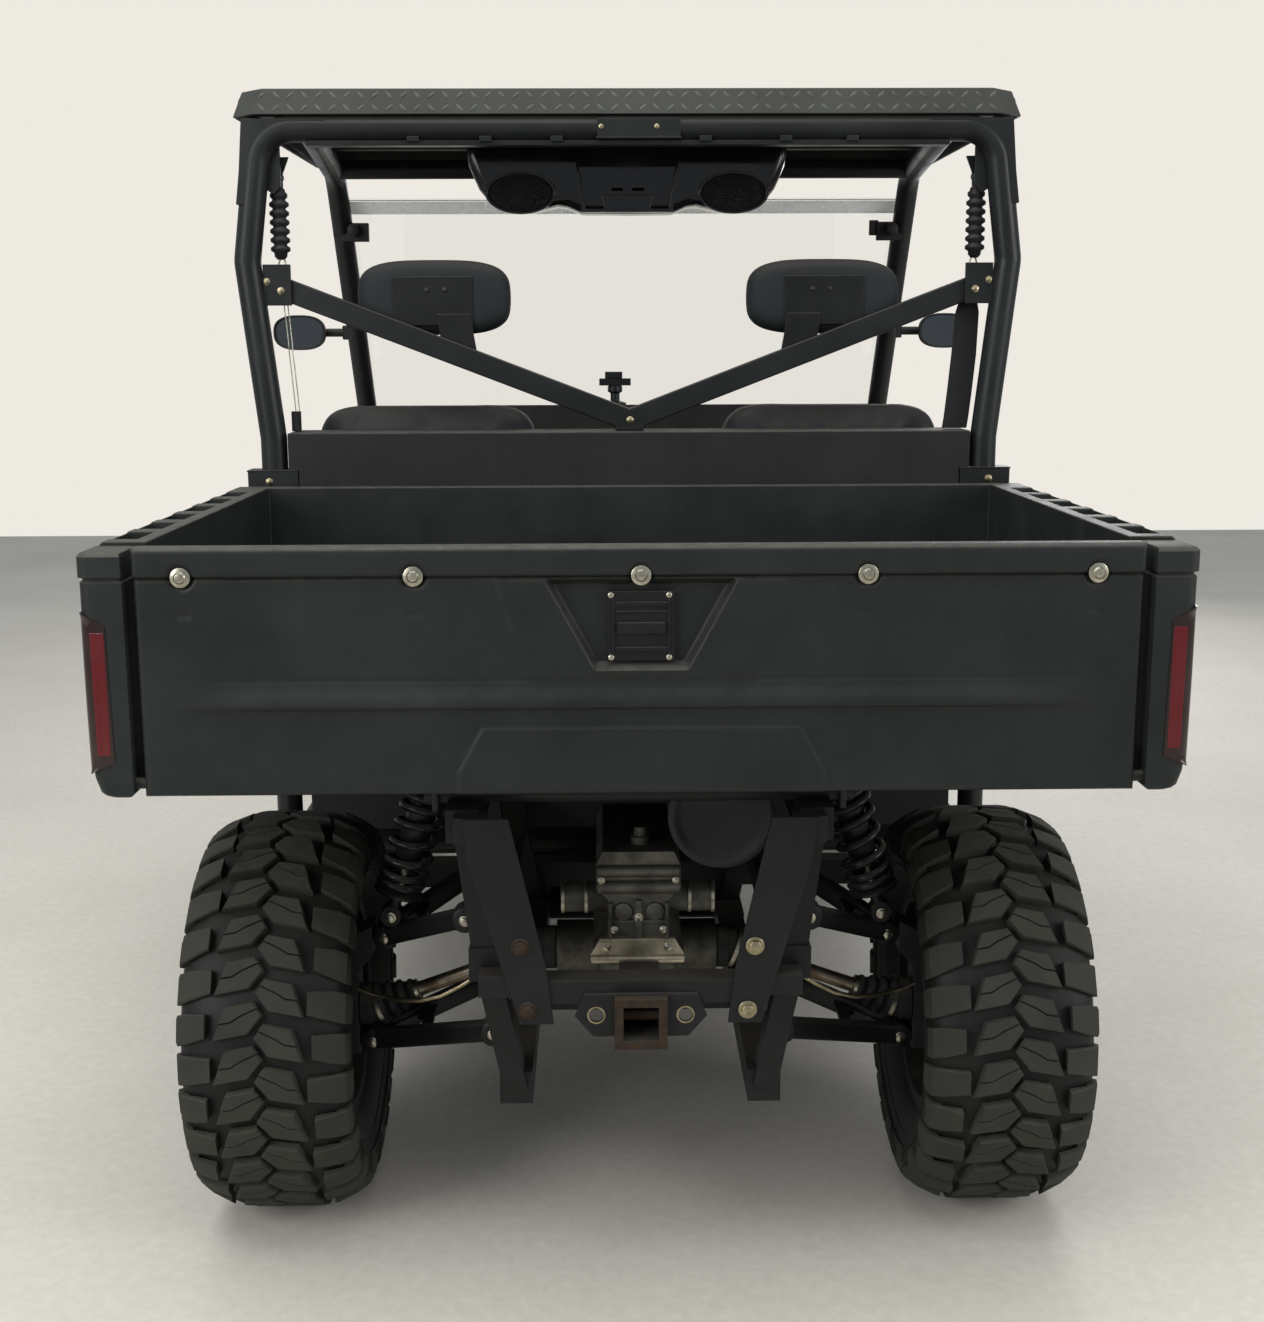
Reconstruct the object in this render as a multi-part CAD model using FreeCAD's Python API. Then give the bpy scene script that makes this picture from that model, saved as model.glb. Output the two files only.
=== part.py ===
"""Side by side utility vehicle: open two-seat cab under a folded steel roof, tilting cargo bed behind.

Millimetres. +X is the vehicle's right, +Y its front, +Z up. The origin is on the ground, below the
middle of the vehicle. Driving sizes stand in the sheet "Sizes"; every piece reads its own from there.
"""
import FreeCAD, Part
import os
from math import asin, cos, pi, radians, sin, sqrt, tan

# Driving sizes: alias, value, what it is
SIZES = [
    ("overall_length", 2960, "tailgate face to front bumper"),
    ("wheelbase", 2057, "rear axle to front axle"),
    ("rear_overhang", 491, "tailgate face to rear axle"),
    ("clearance_fit", 0.3, "gap between a seated piece and its seat"),
    # wheels
    ("tyre_radius", 331, "ground to axle, to the lug tips"),
    ("lug_height", 17, "depth of the tread"),
    ("rear_tyre_width", 270, "rear tyre over its shoulder lugs"),
    ("front_tyre_width", 230, "front tyre over its shoulder lugs"),
    ("tyre_outer_half", 718, "centre line to the tyres' outer faces"),
    ("rim_radius", 178, "seat of the tyre's bead"),
    ("rim_flange", 14, "height of the rim's lip over its seat"),
    ("rim_wall", 13, "thickness of the rim's barrel"),
    ("bead_inset", 44, "tyre's outer face to its bead"),
    ("disc_offset", 38, "wheel centre to the disc's inner face"),
    ("disc_wall", 12, "thickness of the wheel disc"),
    ("hub_radius", 30, "spindle that carries a wheel"),
    ("hub_flange_radius", 70, "flange that a wheel disc bolts to"),
    # main frame
    ("rail_size", 50, "square tube of the main rails"),
    ("lower_rail_half", 190, "centre line to the lower rails' middle"),
    ("lower_rail_height", 325, "ground to the lower rails' middle"),
    ("middle_rail_half", 232, "centre line to the middle rails' middle"),
    ("middle_rail_height", 529, "ground to the middle rails' middle"),
    ("upper_rail_half", 260, "centre line to the bed rails' middle"),
    ("upper_rail_height", 750, "ground to the bed rails' middle"),
    ("tower_post", 36, "square tube of the front suspension towers"),
    ("tower_top", 800, "ground to the towers' top"),
    ("frame_tail", 1345, "origin back to the rails' rear end"),
    ("frame_nose", 1290, "origin forward to the lower rails' front end"),
    # cab
    ("floor_height", 430, "ground to the cab floor's top"),
    ("floor_wall", 12, "thickness of the floor and its boards"),
    ("cab_half", 700, "centre line to the cab's outer sides"),
    ("floor_front", 648, "origin forward to the toe board"),
    ("sill_width", 42, "width of a side sill"),
    ("tunnel_half", 120, "half width of the floor tunnel"),
    ("tunnel_height", 120, "height of the floor tunnel"),
    ("seat_base_back", 372, "origin back to the seat base's rear"),
    ("seat_base_front", 215, "origin forward to the seat base's front"),
    ("seat_base_top", 790, "ground to the seat base's top"),
    ("seat_base_wall", 14, "thickness of the seat base"),
    ("seat_inner", 165, "centre line to a seat's inner side"),
    ("seat_outer", 640, "centre line to a seat's outer side"),
    ("cushion_height", 105, "thickness of a seat cushion"),
    ("cushion_length", 430, "depth of a seat cushion"),
    ("back_top", 1340, "ground to a seat back's top"),
    ("back_wall", 105, "thickness of a seat back"),
    ("back_lean", 10, "degrees that a seat back leans"),
    # rear cab panel
    ("panel_half", 655, "half width of the panel behind the seats"),
    ("panel_top", 1277, "ground to the ledge behind the seats"),
    ("panel_back", 484, "origin back to the rear face of that panel"),
    ("panel_depth", 118, "depth of the ledge"),
    # cage
    ("cage_radius", 25, "radius of the cage's tubes"),
    ("hoop_place", 459, "origin back to the rear hoop"),
    ("hoop_foot_half", 685, "centre line to the hoop's legs at the foot"),
    ("hoop_belly_half", 720, "centre line to the hoop's legs at the bow"),
    ("hoop_top_half", 688, "centre line to the hoop's legs at the top bend"),
    ("hoop_belly_height", 1597, "ground to the widest place of the hoop"),
    ("hoop_top_height", 1838, "ground to the hoop's top beam"),
    ("seat_back_place", 366, "origin back to the seat backs where they pass the ledge"),
    ("socket_half", 48, "half width of a foot socket"),
    ("socket_height", 1205, "ground to a foot socket's top"),
    ("pillar_half", 685, "centre line to the front pillars"),
    ("pillar_foot_place", 880, "origin forward to a pillar's foot"),
    ("pillar_foot_height", 1195, "ground to a pillar's foot"),
    ("pillar_top_place", 420, "origin forward to a pillar's top bend"),
    ("brace_end_height", 1554, "ground to the cross brace's outer bolts"),
    ("brace_mid_height", 1298, "ground to the cross brace's middle bolt"),
    ("brace_depth", 42, "depth of a brace tube"),
    ("brace_wall", 22, "thickness of a brace tube"),
    # roof
    ("roof_back", 486, "origin back to the roof's rear edge"),
    ("roof_front", 520, "origin forward to the roof's front edge"),
    ("roof_half_low", 740, "half width of the roof's lower edge"),
    ("roof_half_top", 724, "half width of the roof's top face"),
    ("roof_low", 1860, "ground to the roof's lower edge"),
    ("roof_top", 1908, "ground to the roof's top face"),
    ("roof_corner", 46, "cut of the roof's corners"),
    ("roof_wall", 5, "thickness of the roof sheet"),
    # audio pod
    ("pod_half", 324, "half width of the overhead pod"),
    ("pod_back", 230, "origin back to the pod's rear face"),
    ("pod_depth", 250, "depth of the pod"),
    ("pod_low", 1701, "ground to the pod's underside"),
    ("pod_lobe_half", 227, "centre line to a speaker lobe"),
    ("pod_lobe_radius", 76, "radius of a speaker lobe"),
    ("pod_mid_half", 107, "half width of the pod's middle unit"),
    # headrests
    ("headrest_inner", 228, "centre line to a headrest's inner side"),
    ("headrest_outer", 525, "centre line to a headrest's outer side"),
    ("headrest_low", 1460, "ground to a headrest's underside"),
    ("headrest_top", 1603, "ground to a headrest's top"),
    ("headrest_wall", 92, "thickness of a headrest"),
    # cargo bed
    ("bed_half", 758, "centre line to the bed's outer sides"),
    ("bed_inner_half", 683, "centre line to the bed's inner sides"),
    ("bed_low", 833, "ground to the bed's lower edge"),
    ("bed_top", 1178, "ground to the bed's top edge"),
    ("bed_floor_top", 880, "ground to the bed's floor"),
    ("bed_floor_wall", 20, "thickness of the bed's floor"),
    ("bed_length", 938, "tailgate face to the bed's front wall"),
    ("bed_front_wall", 30, "thickness of the bed's front wall"),
    ("post_inner", 695, "centre line to a corner post's inner side"),
    ("post_depth", 86, "depth of a corner post"),
    ("scoop_first", 118.6, "tailgate face to the first rail scoop"),
    ("scoop_pitch", 130, "distance between rail scoops"),
    ("scoop_length", 96, "length of a rail scoop"),
    ("scoop_depth", 14, "depth of a rail scoop"),
    ("bed_pin_place", 1290, "origin back to the bed's hinge"),
    ("bed_pin_height", 786, "ground to the bed's hinge"),
    ("bed_pin_radius", 14, "radius of the bed's hinge tube"),
    ("bed_sill_half", 50, "width of a sill under the bed"),
    # tailgate
    ("gate_half", 684, "half width of the tailgate"),
    ("gate_wall", 40, "thickness of the tailgate"),
    ("gate_pin_depth", 20, "tailgate face to its hinge"),
    ("gate_pin_radius", 8, "radius of the tailgate's hinge pins"),
    ("gate_pin_drop", 18, "tailgate's lower edge to its hinge"),
    ("gate_seam", 1136, "ground to the seam below the top cap"),
    ("bulge_low", 955, "ground to the bulge's lower edge"),
    ("bulge_top", 994, "ground to the bulge's upper edge"),
    ("latch_half", 46, "half width of the latch plate"),
    ("latch_low", 1019, "ground to the latch plate's lower edge"),
    ("latch_top", 1115, "ground to the latch plate's upper edge"),
    ("lamp_low", 872, "ground to a tail lamp's lower end"),
    ("lamp_top", 1090, "ground to a tail lamp's upper end"),
    ("lamp_inner", 720, "centre line to a tail lamp's inner edge"),
    # rear drive and hitch
    ("leg_place", 1372, "origin back to the frame legs"),
    ("leg_wall", 6, "thickness of a frame leg"),
    ("hitch_size", 63, "outside of the receiver tube"),
    ("hitch_bore", 51, "inside of the receiver tube"),
    ("hitch_height", 461, "ground to the receiver's middle"),
    ("hitch_back", 1396, "origin back to the receiver's mouth"),
    ("hitch_pin_place", 38, "receiver's mouth to its pin"),
    ("hitch_pin_radius", 8, "radius of the receiver's pin bore"),
    ("gearcase_half", 72, "half width of the rear gearcase"),
    ("rear_output_half", 135, "centre line to the rear gearcase's output flanges"),
    ("front_output_half", 108, "centre line to the front gearcase's output flanges"),
    ("gearcase_low", 483, "ground to the rear gearcase's foot"),
    ("gearcase_top", 669, "ground to the rear gearcase's lid"),
    ("muffler_radius", 82, "radius of the muffler"),
    ("muffler_length", 380, "length of the muffler"),
    ("muffler_side", 126, "centre line to the muffler's middle"),
    ("muffler_height", 738, "ground to the muffler's middle"),
    ("engine_width", 420, "width of the engine block"),
    ("engine_length", 430, "length of the engine block"),
    ("engine_height", 330, "height of the engine block"),
    # suspension
    ("arm_radius", 17, "radius of a suspension arm's tube"),
    ("arm_spread", 150, "axle to the arms' inner pivots, each way"),
    ("rear_upper_outer", 425, "centre line to the rear upper arm's outer end"),
    ("rear_upper_outer_height", 458, "ground to that end"),
    ("rear_lower_outer", 452, "centre line to the rear lower arm's outer end"),
    ("rear_lower_outer_height", 272, "ground to that end"),
    ("upright_offset", 21.3, "outer eye of a rear arm to the upright's inner face"),
    ("shock_eye", 19, "radius of a shock's eye"),
    ("shock_bar", 12, "radius of the bar that carries a front shock's foot"),
    ("front_shock_foot", 395, "centre line to a front shock's lower eye"),
    ("front_upper_inner_height", 505, "ground to the front upper arms' inner pivots"),
    ("kingpin_half", 545, "centre line to a front wheel's steering axis"),
    ("ball_half", 24, "half height of a ball joint's housing"),
    ("ball_upper_height", 428, "ground to a front knuckle's top face"),
    ("ball_lower_height", 224, "ground to a front knuckle's lower face"),
    ("knuckle_boss", 24, "length of a ball joint's stud outside the knuckle's web"),
    ("knuckle_stud", 11, "radius of a ball joint's stud"),
    ("shock_radius", 37, "radius of a coil spring"),
    ("shock_top_half", 330, "centre line to a rear shock's upper eye"),
    ("shock_top_height", 762, "ground to that eye"),
    ("shaft_radius", 13, "radius of a half shaft"),
    ("steer_arm", 100, "kingpin to the track rod's eye"),
    ("rod_radius", 9, "radius of a track rod"),
    ("rack_half", 170, "half length of the rack's housing"),
    ("rack_height", 372, "ground to the steering rack"),
    # front body
    ("fender_inner", 440, "centre line to a front fender's inner side"),
    ("fender_outer", 738, "centre line to a front fender's outer side"),
    ("fender_front", 1440, "origin forward to a fender's front"),
    ("arch_radius", 415, "radius of a front wheel arch"),
    ("arch_height", 405, "ground to the arch's middle"),
    ("hood_back", 885, "origin forward to the hood's rear edge"),
    ("hood_back_height", 1185, "ground to the hood's rear edge"),
    ("fascia_front", 1425, "origin forward to the fascia's face"),
    ("dash_back", 590, "origin forward to the dashboard's face"),
    ("dash_top", 1286, "ground to the dashboard's top"),
    ("bumper_radius", 19, "radius of the bumper's tube"),
    # controls
    ("driver_side", 402, "centre line to the driver's middle, leftward"),
    ("wheel_rim_radius", 178, "radius of the steering wheel's rim"),
    ("wheel_grip_radius", 14, "radius of the rim's section"),
    ("column_slope", 32, "degrees of the steering column above level"),
    ("steering_hub_place", 452, "origin forward to the steering wheel's hub"),
    ("steering_hub_height", 1105, "ground to the steering wheel's hub"),
    # mirrors
    ("mirror_inner", 762, "centre line to a mirror's inner edge"),
    ("mirror_outer", 897, "centre line to a mirror's outer edge"),
    ("mirror_low", 1427, "ground to a mirror's lower edge"),
    ("mirror_top", 1516, "ground to a mirror's upper edge"),
    ("mirror_depth", 46, "depth of a mirror's shell"),
    ("screen_wall", 5, "thickness of the clear windshield"),
]

doc = FreeCAD.newDocument("side_by_side_utv")
sheet = doc.addObject("Spreadsheet::Sheet", "Sizes")
for row, (alias, value, note) in enumerate(SIZES, 1):
    sheet.set(f"A{row}", note)
    sheet.set(f"B{row}", str(value))
    sheet.setAlias(f"B{row}", alias)
doc.recompute()


class Sizes:
    """Reads a driving size from the sheet by its alias."""

    def __getattr__(self, alias):
        return float(sheet.get(alias))


s = Sizes()
SIDES = (-1, 1)

# Places that follow from the driving sizes
tail_y = -s.overall_length / 2
nose_y = s.overall_length / 2
rear_axle_y = tail_y + s.rear_overhang
front_axle_y = rear_axle_y + s.wheelbase
axle_z = s.tyre_radius
rear_wheel_x = s.tyre_outer_half - s.rear_tyre_width / 2
front_wheel_x = s.tyre_outer_half - s.front_tyre_width / 2
bed_pin_y = -s.bed_pin_place
outrigger_z = s.floor_height - s.floor_wall - s.clearance_fit - s.rail_size / 2
rear_shock_y = rear_axle_y - 42
ball_upper_z = s.ball_upper_height + s.clearance_fit + s.ball_half
ball_lower_z = s.ball_lower_height - s.clearance_fit - s.ball_half
roof_rib_low = s.hoop_top_height + s.cage_radius + s.clearance_fit
pillar_slope = (s.pillar_foot_place - s.pillar_top_place) / (s.hoop_top_height - s.pillar_foot_height)
gate_pin_y = tail_y + s.gate_pin_depth
gate_pin_z = s.bed_low + s.gate_pin_drop
X_AXIS = FreeCAD.Vector(1, 0, 0)
Y_AXIS = FreeCAD.Vector(0, 1, 0)
Z_AXIS = FreeCAD.Vector(0, 0, 1)


def at(x, y, z):
    """A point of the vehicle's frame."""
    return FreeCAD.Vector(x, y, z)


def box(low, high):
    """A block between its lowest and highest corner."""
    size = [high[i] - low[i] for i in range(3)]
    return Part.makeBox(size[0], size[1], size[2], at(*low))


def face_of(points):
    """A flat face inside a closed outline of straight edges."""
    return Part.Face(Part.makePolygon(points + [points[0]]))


def slab_x(outline, x_from, x_to):
    """An outline of (y, z) pairs made thick along X."""
    return face_of([at(x_from, y, z) for y, z in outline]).extrude(at(x_to - x_from, 0, 0))


def slab_y(outline, y_from, y_to):
    """An outline of (x, z) pairs made thick along Y."""
    return face_of([at(x, y_from, z) for x, z in outline]).extrude(at(0, y_to - y_from, 0))


def slab_z(outline, z_from, z_to):
    """An outline of (x, y) pairs made thick along Z."""
    return face_of([at(x, y, z_from) for x, y in outline]).extrude(at(0, 0, z_to - z_from))


def rod(start, end, radius, end_radius=None):
    """A round bar, or a cone where its two ends differ, between two points."""
    along = end - start
    if end_radius is None:
        return Part.makeCylinder(radius, along.Length, start, along)
    return Part.makeCone(radius, end_radius, along.Length, start, along)


def flat_bar(start, end, depth, wall, side):
    """A bar of rectangular section between two points: wall lies along side, depth across it."""
    along = (end - start).normalize()
    across = along.cross(side).normalize() * (depth / 2)
    half = FreeCAD.Vector(side).normalize() * (wall / 2)
    corners = [start + across + half, start + across - half, start - across - half, start - across + half]
    return face_of(corners).extrude(end - start)


def bent_tube(points, radius, bend):
    """A round tube along straight runs with arcs of one radius between them."""
    edges = []
    start = points[0]
    for before, corner, after in zip(points, points[1:], points[2:]):
        back = (before - corner).normalize()
        ahead = (after - corner).normalize()
        half_angle = back.getAngle(ahead) / 2
        reach = bend / tan(half_angle)
        middle = corner + (back + ahead).normalize() * (bend / sin(half_angle) - bend)
        first = corner + back * reach
        last = corner + ahead * reach
        edges.append(Part.LineSegment(start, first).toShape())
        edges.append(Part.Arc(first, middle, last).toShape())
        start = last
    edges.append(Part.LineSegment(start, points[-1]).toShape())
    section = Part.Wire(Part.makeCircle(radius, points[0], points[1] - points[0]))
    return Part.Wire(edges).makePipeShell([section], True, False)


def revolved_x(profile, centre):
    """A solid of revolution about X from (x, radius) pairs, x measured from centre."""
    points = [at(centre.x + x, centre.y, centre.z + radius) for x, radius in profile]
    return face_of(points).revolve(centre, X_AXIS, 360)


def fused(shapes):
    """One solid from pieces that touch or cross."""
    first = shapes[0]
    rest = shapes[1:]
    return first.multiFuse(rest).removeSplitter() if rest else first


def both_sides(maker):
    """The same piece on the left and on the right, as solids that don't touch."""
    return Part.makeCompound([maker(side) for side in SIDES])


def mirrored(shape):
    """The piece's twin across the centre line."""
    return shape.mirror(at(0, 0, 0), X_AXIS)


def rounded(shape, radius, chooser):
    """The shape with the chosen edges rounded."""
    edges = [edge for edge in shape.Edges if chooser(edge)]
    return shape.makeFillet(radius, edges)


def runs_along(axis):
    """Chooses the straight edges that lie along an axis."""
    def choose(edge):
        if len(edge.Vertexes) < 2:
            return False
        step = edge.Vertexes[1].Point - edge.Vertexes[0].Point
        return abs(abs(step.normalize().dot(axis)) - 1) < 1e-6
    return choose


parts = []


def add(name, shape):
    """Keeps a shape as a document object of its own."""
    feature = doc.addObject("Part::Feature", name)
    feature.Shape = shape
    feature.Label = name
    parts.append(feature)


# Main frame: three pairs of rails, their posts and cross members, and the cab's outriggers
def main_frame():
    """The welded frame that carries everything."""
    size = s.rail_size
    half = size / 2
    pieces = []
    # half track, height, rear end, front end of each pair of rails
    rails = [
        (s.lower_rail_half, s.lower_rail_height, s.frame_tail - 30, s.frame_nose),
        (s.middle_rail_half, s.middle_rail_height, s.frame_tail - 15, -s.panel_back - s.clearance_fit),
        (s.upper_rail_half, s.upper_rail_height, s.frame_tail, -s.panel_back - s.clearance_fit),
    ]
    for x, z, back, front in rails:
        for side in SIDES:
            pieces.append(box((side * x - half, -back, z - half), (side * x + half, front, z + half)))
    # place of each rear post pair
    for y in (-s.frame_tail + 40, rear_axle_y + 60, -s.panel_back - 25):
        for side in SIDES:
            low = at(side * s.lower_rail_half, y, s.lower_rail_height)
            knee = at(side * s.middle_rail_half, y, s.middle_rail_height)
            high = at(side * s.upper_rail_half, y, s.upper_rail_height)
            pieces.append(flat_bar(low, knee, 36, 36, Y_AXIS))
            pieces.append(flat_bar(knee, high, 36, 36, Y_AXIS))
    # half width, place, height of each cross member
    crosses = [
        (s.upper_rail_half, -s.panel_back - 25, s.upper_rail_height),
        (s.lower_rail_half, rear_axle_y + 60, s.lower_rail_height),
        (s.hoop_foot_half + s.cage_radius, -s.hoop_place, outrigger_z),
        (s.cab_half - s.sill_width - s.clearance_fit, s.floor_front - 60, outrigger_z),
        (s.lower_rail_half, s.frame_nose - half, s.lower_rail_height),
        (s.lower_rail_half, front_axle_y, s.lower_rail_height),
    ]
    for x, y, z in crosses:
        pieces.append(box((-x, y - half, z - half), (x, y + half, z + half)))
        if z == outrigger_z:
            for side in SIDES:
                middle = side * s.lower_rail_half
                pieces.append(box((middle - half, y - half, s.lower_rail_height), (middle + half, y + half, z)))
    # hinge tube of the cargo bed, across the rear ends of the bed rails
    reach = s.upper_rail_half + 60
    pieces.append(rod(at(-reach, bed_pin_y, s.bed_pin_height), at(reach, bed_pin_y, s.bed_pin_height),
                      s.bed_pin_radius))
    # towers for the front suspension and the cowl hoop
    post = s.tower_post / 2
    for side in SIDES:
        x = side * s.lower_rail_half
        for y in (front_axle_y - s.arm_spread, front_axle_y + s.arm_spread):
            pieces.append(box((x - post, y - post, s.lower_rail_height), (x + post, y + post, s.tower_top)))
        pieces.append(box((x - post, front_axle_y - s.arm_spread - post, s.tower_top - 2 * post),
                          (x + post, front_axle_y + s.arm_spread + post, s.tower_top)))
        # bracket of a rear shock on the bed rail
        outer = side * (s.upper_rail_half + half)
        eye = side * (s.shock_top_half - s.shock_eye - s.clearance_fit)
        pieces.append(box((min(outer, eye), rear_shock_y - 20, s.upper_rail_height - 20),
                          (max(outer, eye), rear_shock_y + 20, s.upper_rail_height + 25)))
    return fused(pieces)


add("main_frame", main_frame())


def hitch_frame():
    """Two leaning legs, the receiver tube with its scalloped plates and their cross member."""
    y = -s.leg_place
    back = y - s.leg_wall
    pieces = []
    for side in SIDES:
        outline = [(side * 191, 770), (side * 257, 770), (side * 250, 700), (side * 179, 455),
                   (side * 129, 455), (side * 140, 545)]
        pieces.append(slab_y(outline, y, back))
    half = s.hitch_size / 2
    bore = s.hitch_bore / 2
    z = s.hitch_height
    cross = box((-178, y, z + 23), (178, y + 46, z + 59))
    tube = box((-half, -s.hitch_back, z - half), (half, y + 150, z + half))
    collar = box((-half - 7, -s.hitch_back, z - half - 7), (half + 7, -s.hitch_back + 16, z + half + 7))
    wings = slab_y([(-98, z + 6), (-84, z + 40), (84, z + 40), (98, z + 6), (70, z - 26), (-70, z - 26)],
                   y - s.leg_wall, y)
    body = fused(pieces + [cross, tube, collar, wings])
    socket = box((-bore, -s.hitch_back - 1, z - bore), (bore, y + 140, z + bore))
    body = body.cut(socket)
    for side in SIDES:
        body = body.cut(rod(at(side * 66, y - 20, z + 8), at(side * 66, y + 90, z + 8), 11))
    pin_y = -s.hitch_back + s.hitch_pin_place
    pin = rod(at(-80, pin_y, z), at(80, pin_y, z), s.hitch_pin_radius)
    return body.cut(pin)


def leg_pads():
    """Blocks that join the legs to the rails."""
    pads = []
    for side in SIDES:
        x = side * s.upper_rail_half
        pads.append(box((min(x, x - side * 25) - 12, -s.leg_place, s.upper_rail_height - 20),
                        (max(x, x - side * 25) + 12, -s.frame_tail, s.upper_rail_height + 20)))
        x = side * (s.lower_rail_half + 5)
        pads.append(box((x - 45, -s.leg_place, s.hitch_height + 34),
                        (x + 45, -s.frame_tail + 15, s.hitch_height + 66)))
    return pads


add("hitch_frame", fused([hitch_frame()] + leg_pads()))


def skid_plate():
    """The belly plate below the lower rails, turned up at the nose."""
    top = s.lower_rail_height - s.rail_size / 2 - s.clearance_fit
    wall = 6
    nose = s.frame_nose + s.clearance_fit
    side_view = [(-470, top - wall), (nose + 2, top - wall), (nose + 68, top + 100),
                 (nose + 60, top + 100), (nose, top), (-470, top)]
    half = s.lower_rail_half + 40
    return slab_x(side_view, -half, half)


add("skid_plate", skid_plate())


def floor_tub():
    """Cab floor with its tunnel, toe board, side sills and the boards below the seat."""
    top = s.floor_height
    wall = s.floor_wall
    back = -s.hoop_place + 40
    front = s.floor_front
    tunnel = s.tunnel_half
    rise = s.tunnel_height
    pieces = [box((-s.cab_half, back, top - wall), (s.cab_half, front, top))]
    tunnel_shell = box((-tunnel, s.seat_base_front, top - wall), (tunnel, front, top + rise))
    tunnel_hollow = box((-tunnel + wall, s.seat_base_front - 1, top - wall - 1),
                        (tunnel - wall, front + 1, top + rise - wall))
    floor = pieces[0].fuse(tunnel_shell).cut(tunnel_hollow)
    toe = box((-s.cab_half + 40, front - wall, top - wall), (s.cab_half - 40, front, 900))
    toe = toe.cut(box((-tunnel + wall, front - wall - 1, top - wall - 1),
                      (tunnel - wall, front + 1, top + rise - wall)))
    sills = []
    for side in SIDES:
        inner = side * (s.cab_half - s.sill_width)
        outer = side * s.cab_half
        sills.append(box((min(inner, outer), back, top - 70), (max(inner, outer), front - wall, top + 22)))
    return fused([floor, toe] + sills)


add("floor_tub", floor_tub())


def seat_base():
    """The hollow box below the seats, open underneath, round the engine."""
    half = s.cab_half - s.sill_width - s.clearance_fit
    low = (-half, -s.seat_base_back, s.floor_height + s.clearance_fit)
    high = (half, s.seat_base_front, s.seat_base_top)
    wall = s.seat_base_wall
    outer = rounded(box(low, high), 30, lambda edge: runs_along(X_AXIS)(edge)
                    and edge.Vertexes[0].Point.z > s.floor_height + 100)
    inner = box((low[0] + wall, low[1] + wall, low[2] - 1), (high[0] - wall, high[1] - wall, high[2] - wall))
    return outer.cut(inner)


add("seat_base", seat_base())


def engine():
    """The engine and gearbox as one plain block in their real place."""
    half = s.engine_width / 2
    y = -110 - s.engine_length / 2
    low = s.floor_height + s.clearance_fit
    return box((-half, y, low), (half, y + s.engine_length, low + s.engine_height))


add("engine", engine())


def transaxle():
    """The rear gearcase: a waisted casting between a wide foot and a ribbed lid, with its shaft stubs."""
    half = s.gearcase_half
    low = s.gearcase_low
    top = s.gearcase_top
    back = -1215
    front = -940
    waist = half - 24
    silhouette = [(-half, low), (half, low), (half, low + 16), (waist, low + 42), (waist, top - 78),
                  (half - 6, top - 60), (half - 6, top - 22), (half - 16, top), (-half + 16, top),
                  (-half + 6, top - 22), (-half + 6, top - 60), (-waist, top - 78), (-waist, low + 42),
                  (-half, low + 16)]
    case = slab_y(silhouette, back, front)
    stubs = rod(at(-118, back + 70, low + 90), at(118, back + 70, low + 90), 24)
    outputs = rod(at(-s.rear_output_half, rear_axle_y, 430), at(s.rear_output_half, rear_axle_y, 430), 46)
    lower = box((-62, rear_axle_y - 70, 384), (62, rear_axle_y + 90, low + 5))
    snout = rod(at(0, front - 5, 470), at(0, front + 120, 470), 34)
    return fused([case, stubs, outputs, lower, snout])


add("transaxle", transaxle())


def muffler():
    """The round muffler above the rear gearcase, with its pipe."""
    y = -1262
    middle = at(s.muffler_side, y, s.muffler_height)
    drum = rod(middle, middle + at(0, s.muffler_length, 0), s.muffler_radius)
    drum = rounded(drum, 14, lambda edge: edge.Curve.TypeId == "Part::GeomCircle")
    tail = rod(middle + at(-38, -14, -26), middle + at(-38, 20, -26), 19)
    pipe = bent_tube([middle + at(0, s.muffler_length - 20, -20), middle + at(0, s.muffler_length + 120, -20),
                      middle + at(-40, s.muffler_length + 360, -150)], 21, 60)
    rail = s.upper_rail_half - s.rail_size / 2 - s.clearance_fit
    strap = box((s.muffler_side + 40, y + 150, s.muffler_height - 14), (rail, y + 190, s.muffler_height + 14))
    return fused([drum, tail, pipe, strap])


add("muffler", muffler())


# Suspension arms: side, axle place, inner half, inner height, outer half, outer height
def arm(side, axle_y, inner_half, inner_z, outer_half, outer_z, apex):
    """A wishbone: two tubes to an outer end, an eye along Y or, with no apex, a ball joint's housing."""
    end = at(side * outer_half, axle_y, outer_z)
    pieces = []
    for way in (-1, 1):
        start = at(side * inner_half, axle_y + way * (s.arm_spread - 26), inner_z)
        pieces.append(rod(start, end + at(0, way * apex, 0), s.arm_radius))
        pieces.append(rod(start - at(0, 22, 0), start + at(0, 22, 0), s.arm_radius + 5))
    if apex:
        pieces.append(rod(end - at(0, apex + 18, 0), end + at(0, apex + 18, 0), s.arm_radius + 4))
    else:
        pieces.append(rod(end - at(0, 0, s.ball_half), end + at(0, 0, s.ball_half), s.arm_radius + 3))
    return fused(pieces)


def front_upper_inner():
    """Half track of the front upper arms' inner pivots."""
    return s.lower_rail_half + s.tower_post / 2 + s.arm_radius + 5 + s.clearance_fit


def front_shock_bar_z():
    """Height of the bar across a front upper arm that carries the shock's foot."""
    inner = front_upper_inner()
    share = (s.front_shock_foot - inner) / (s.kingpin_half - inner)
    return s.front_upper_inner_height + share * (ball_upper_z - s.front_upper_inner_height)


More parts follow.
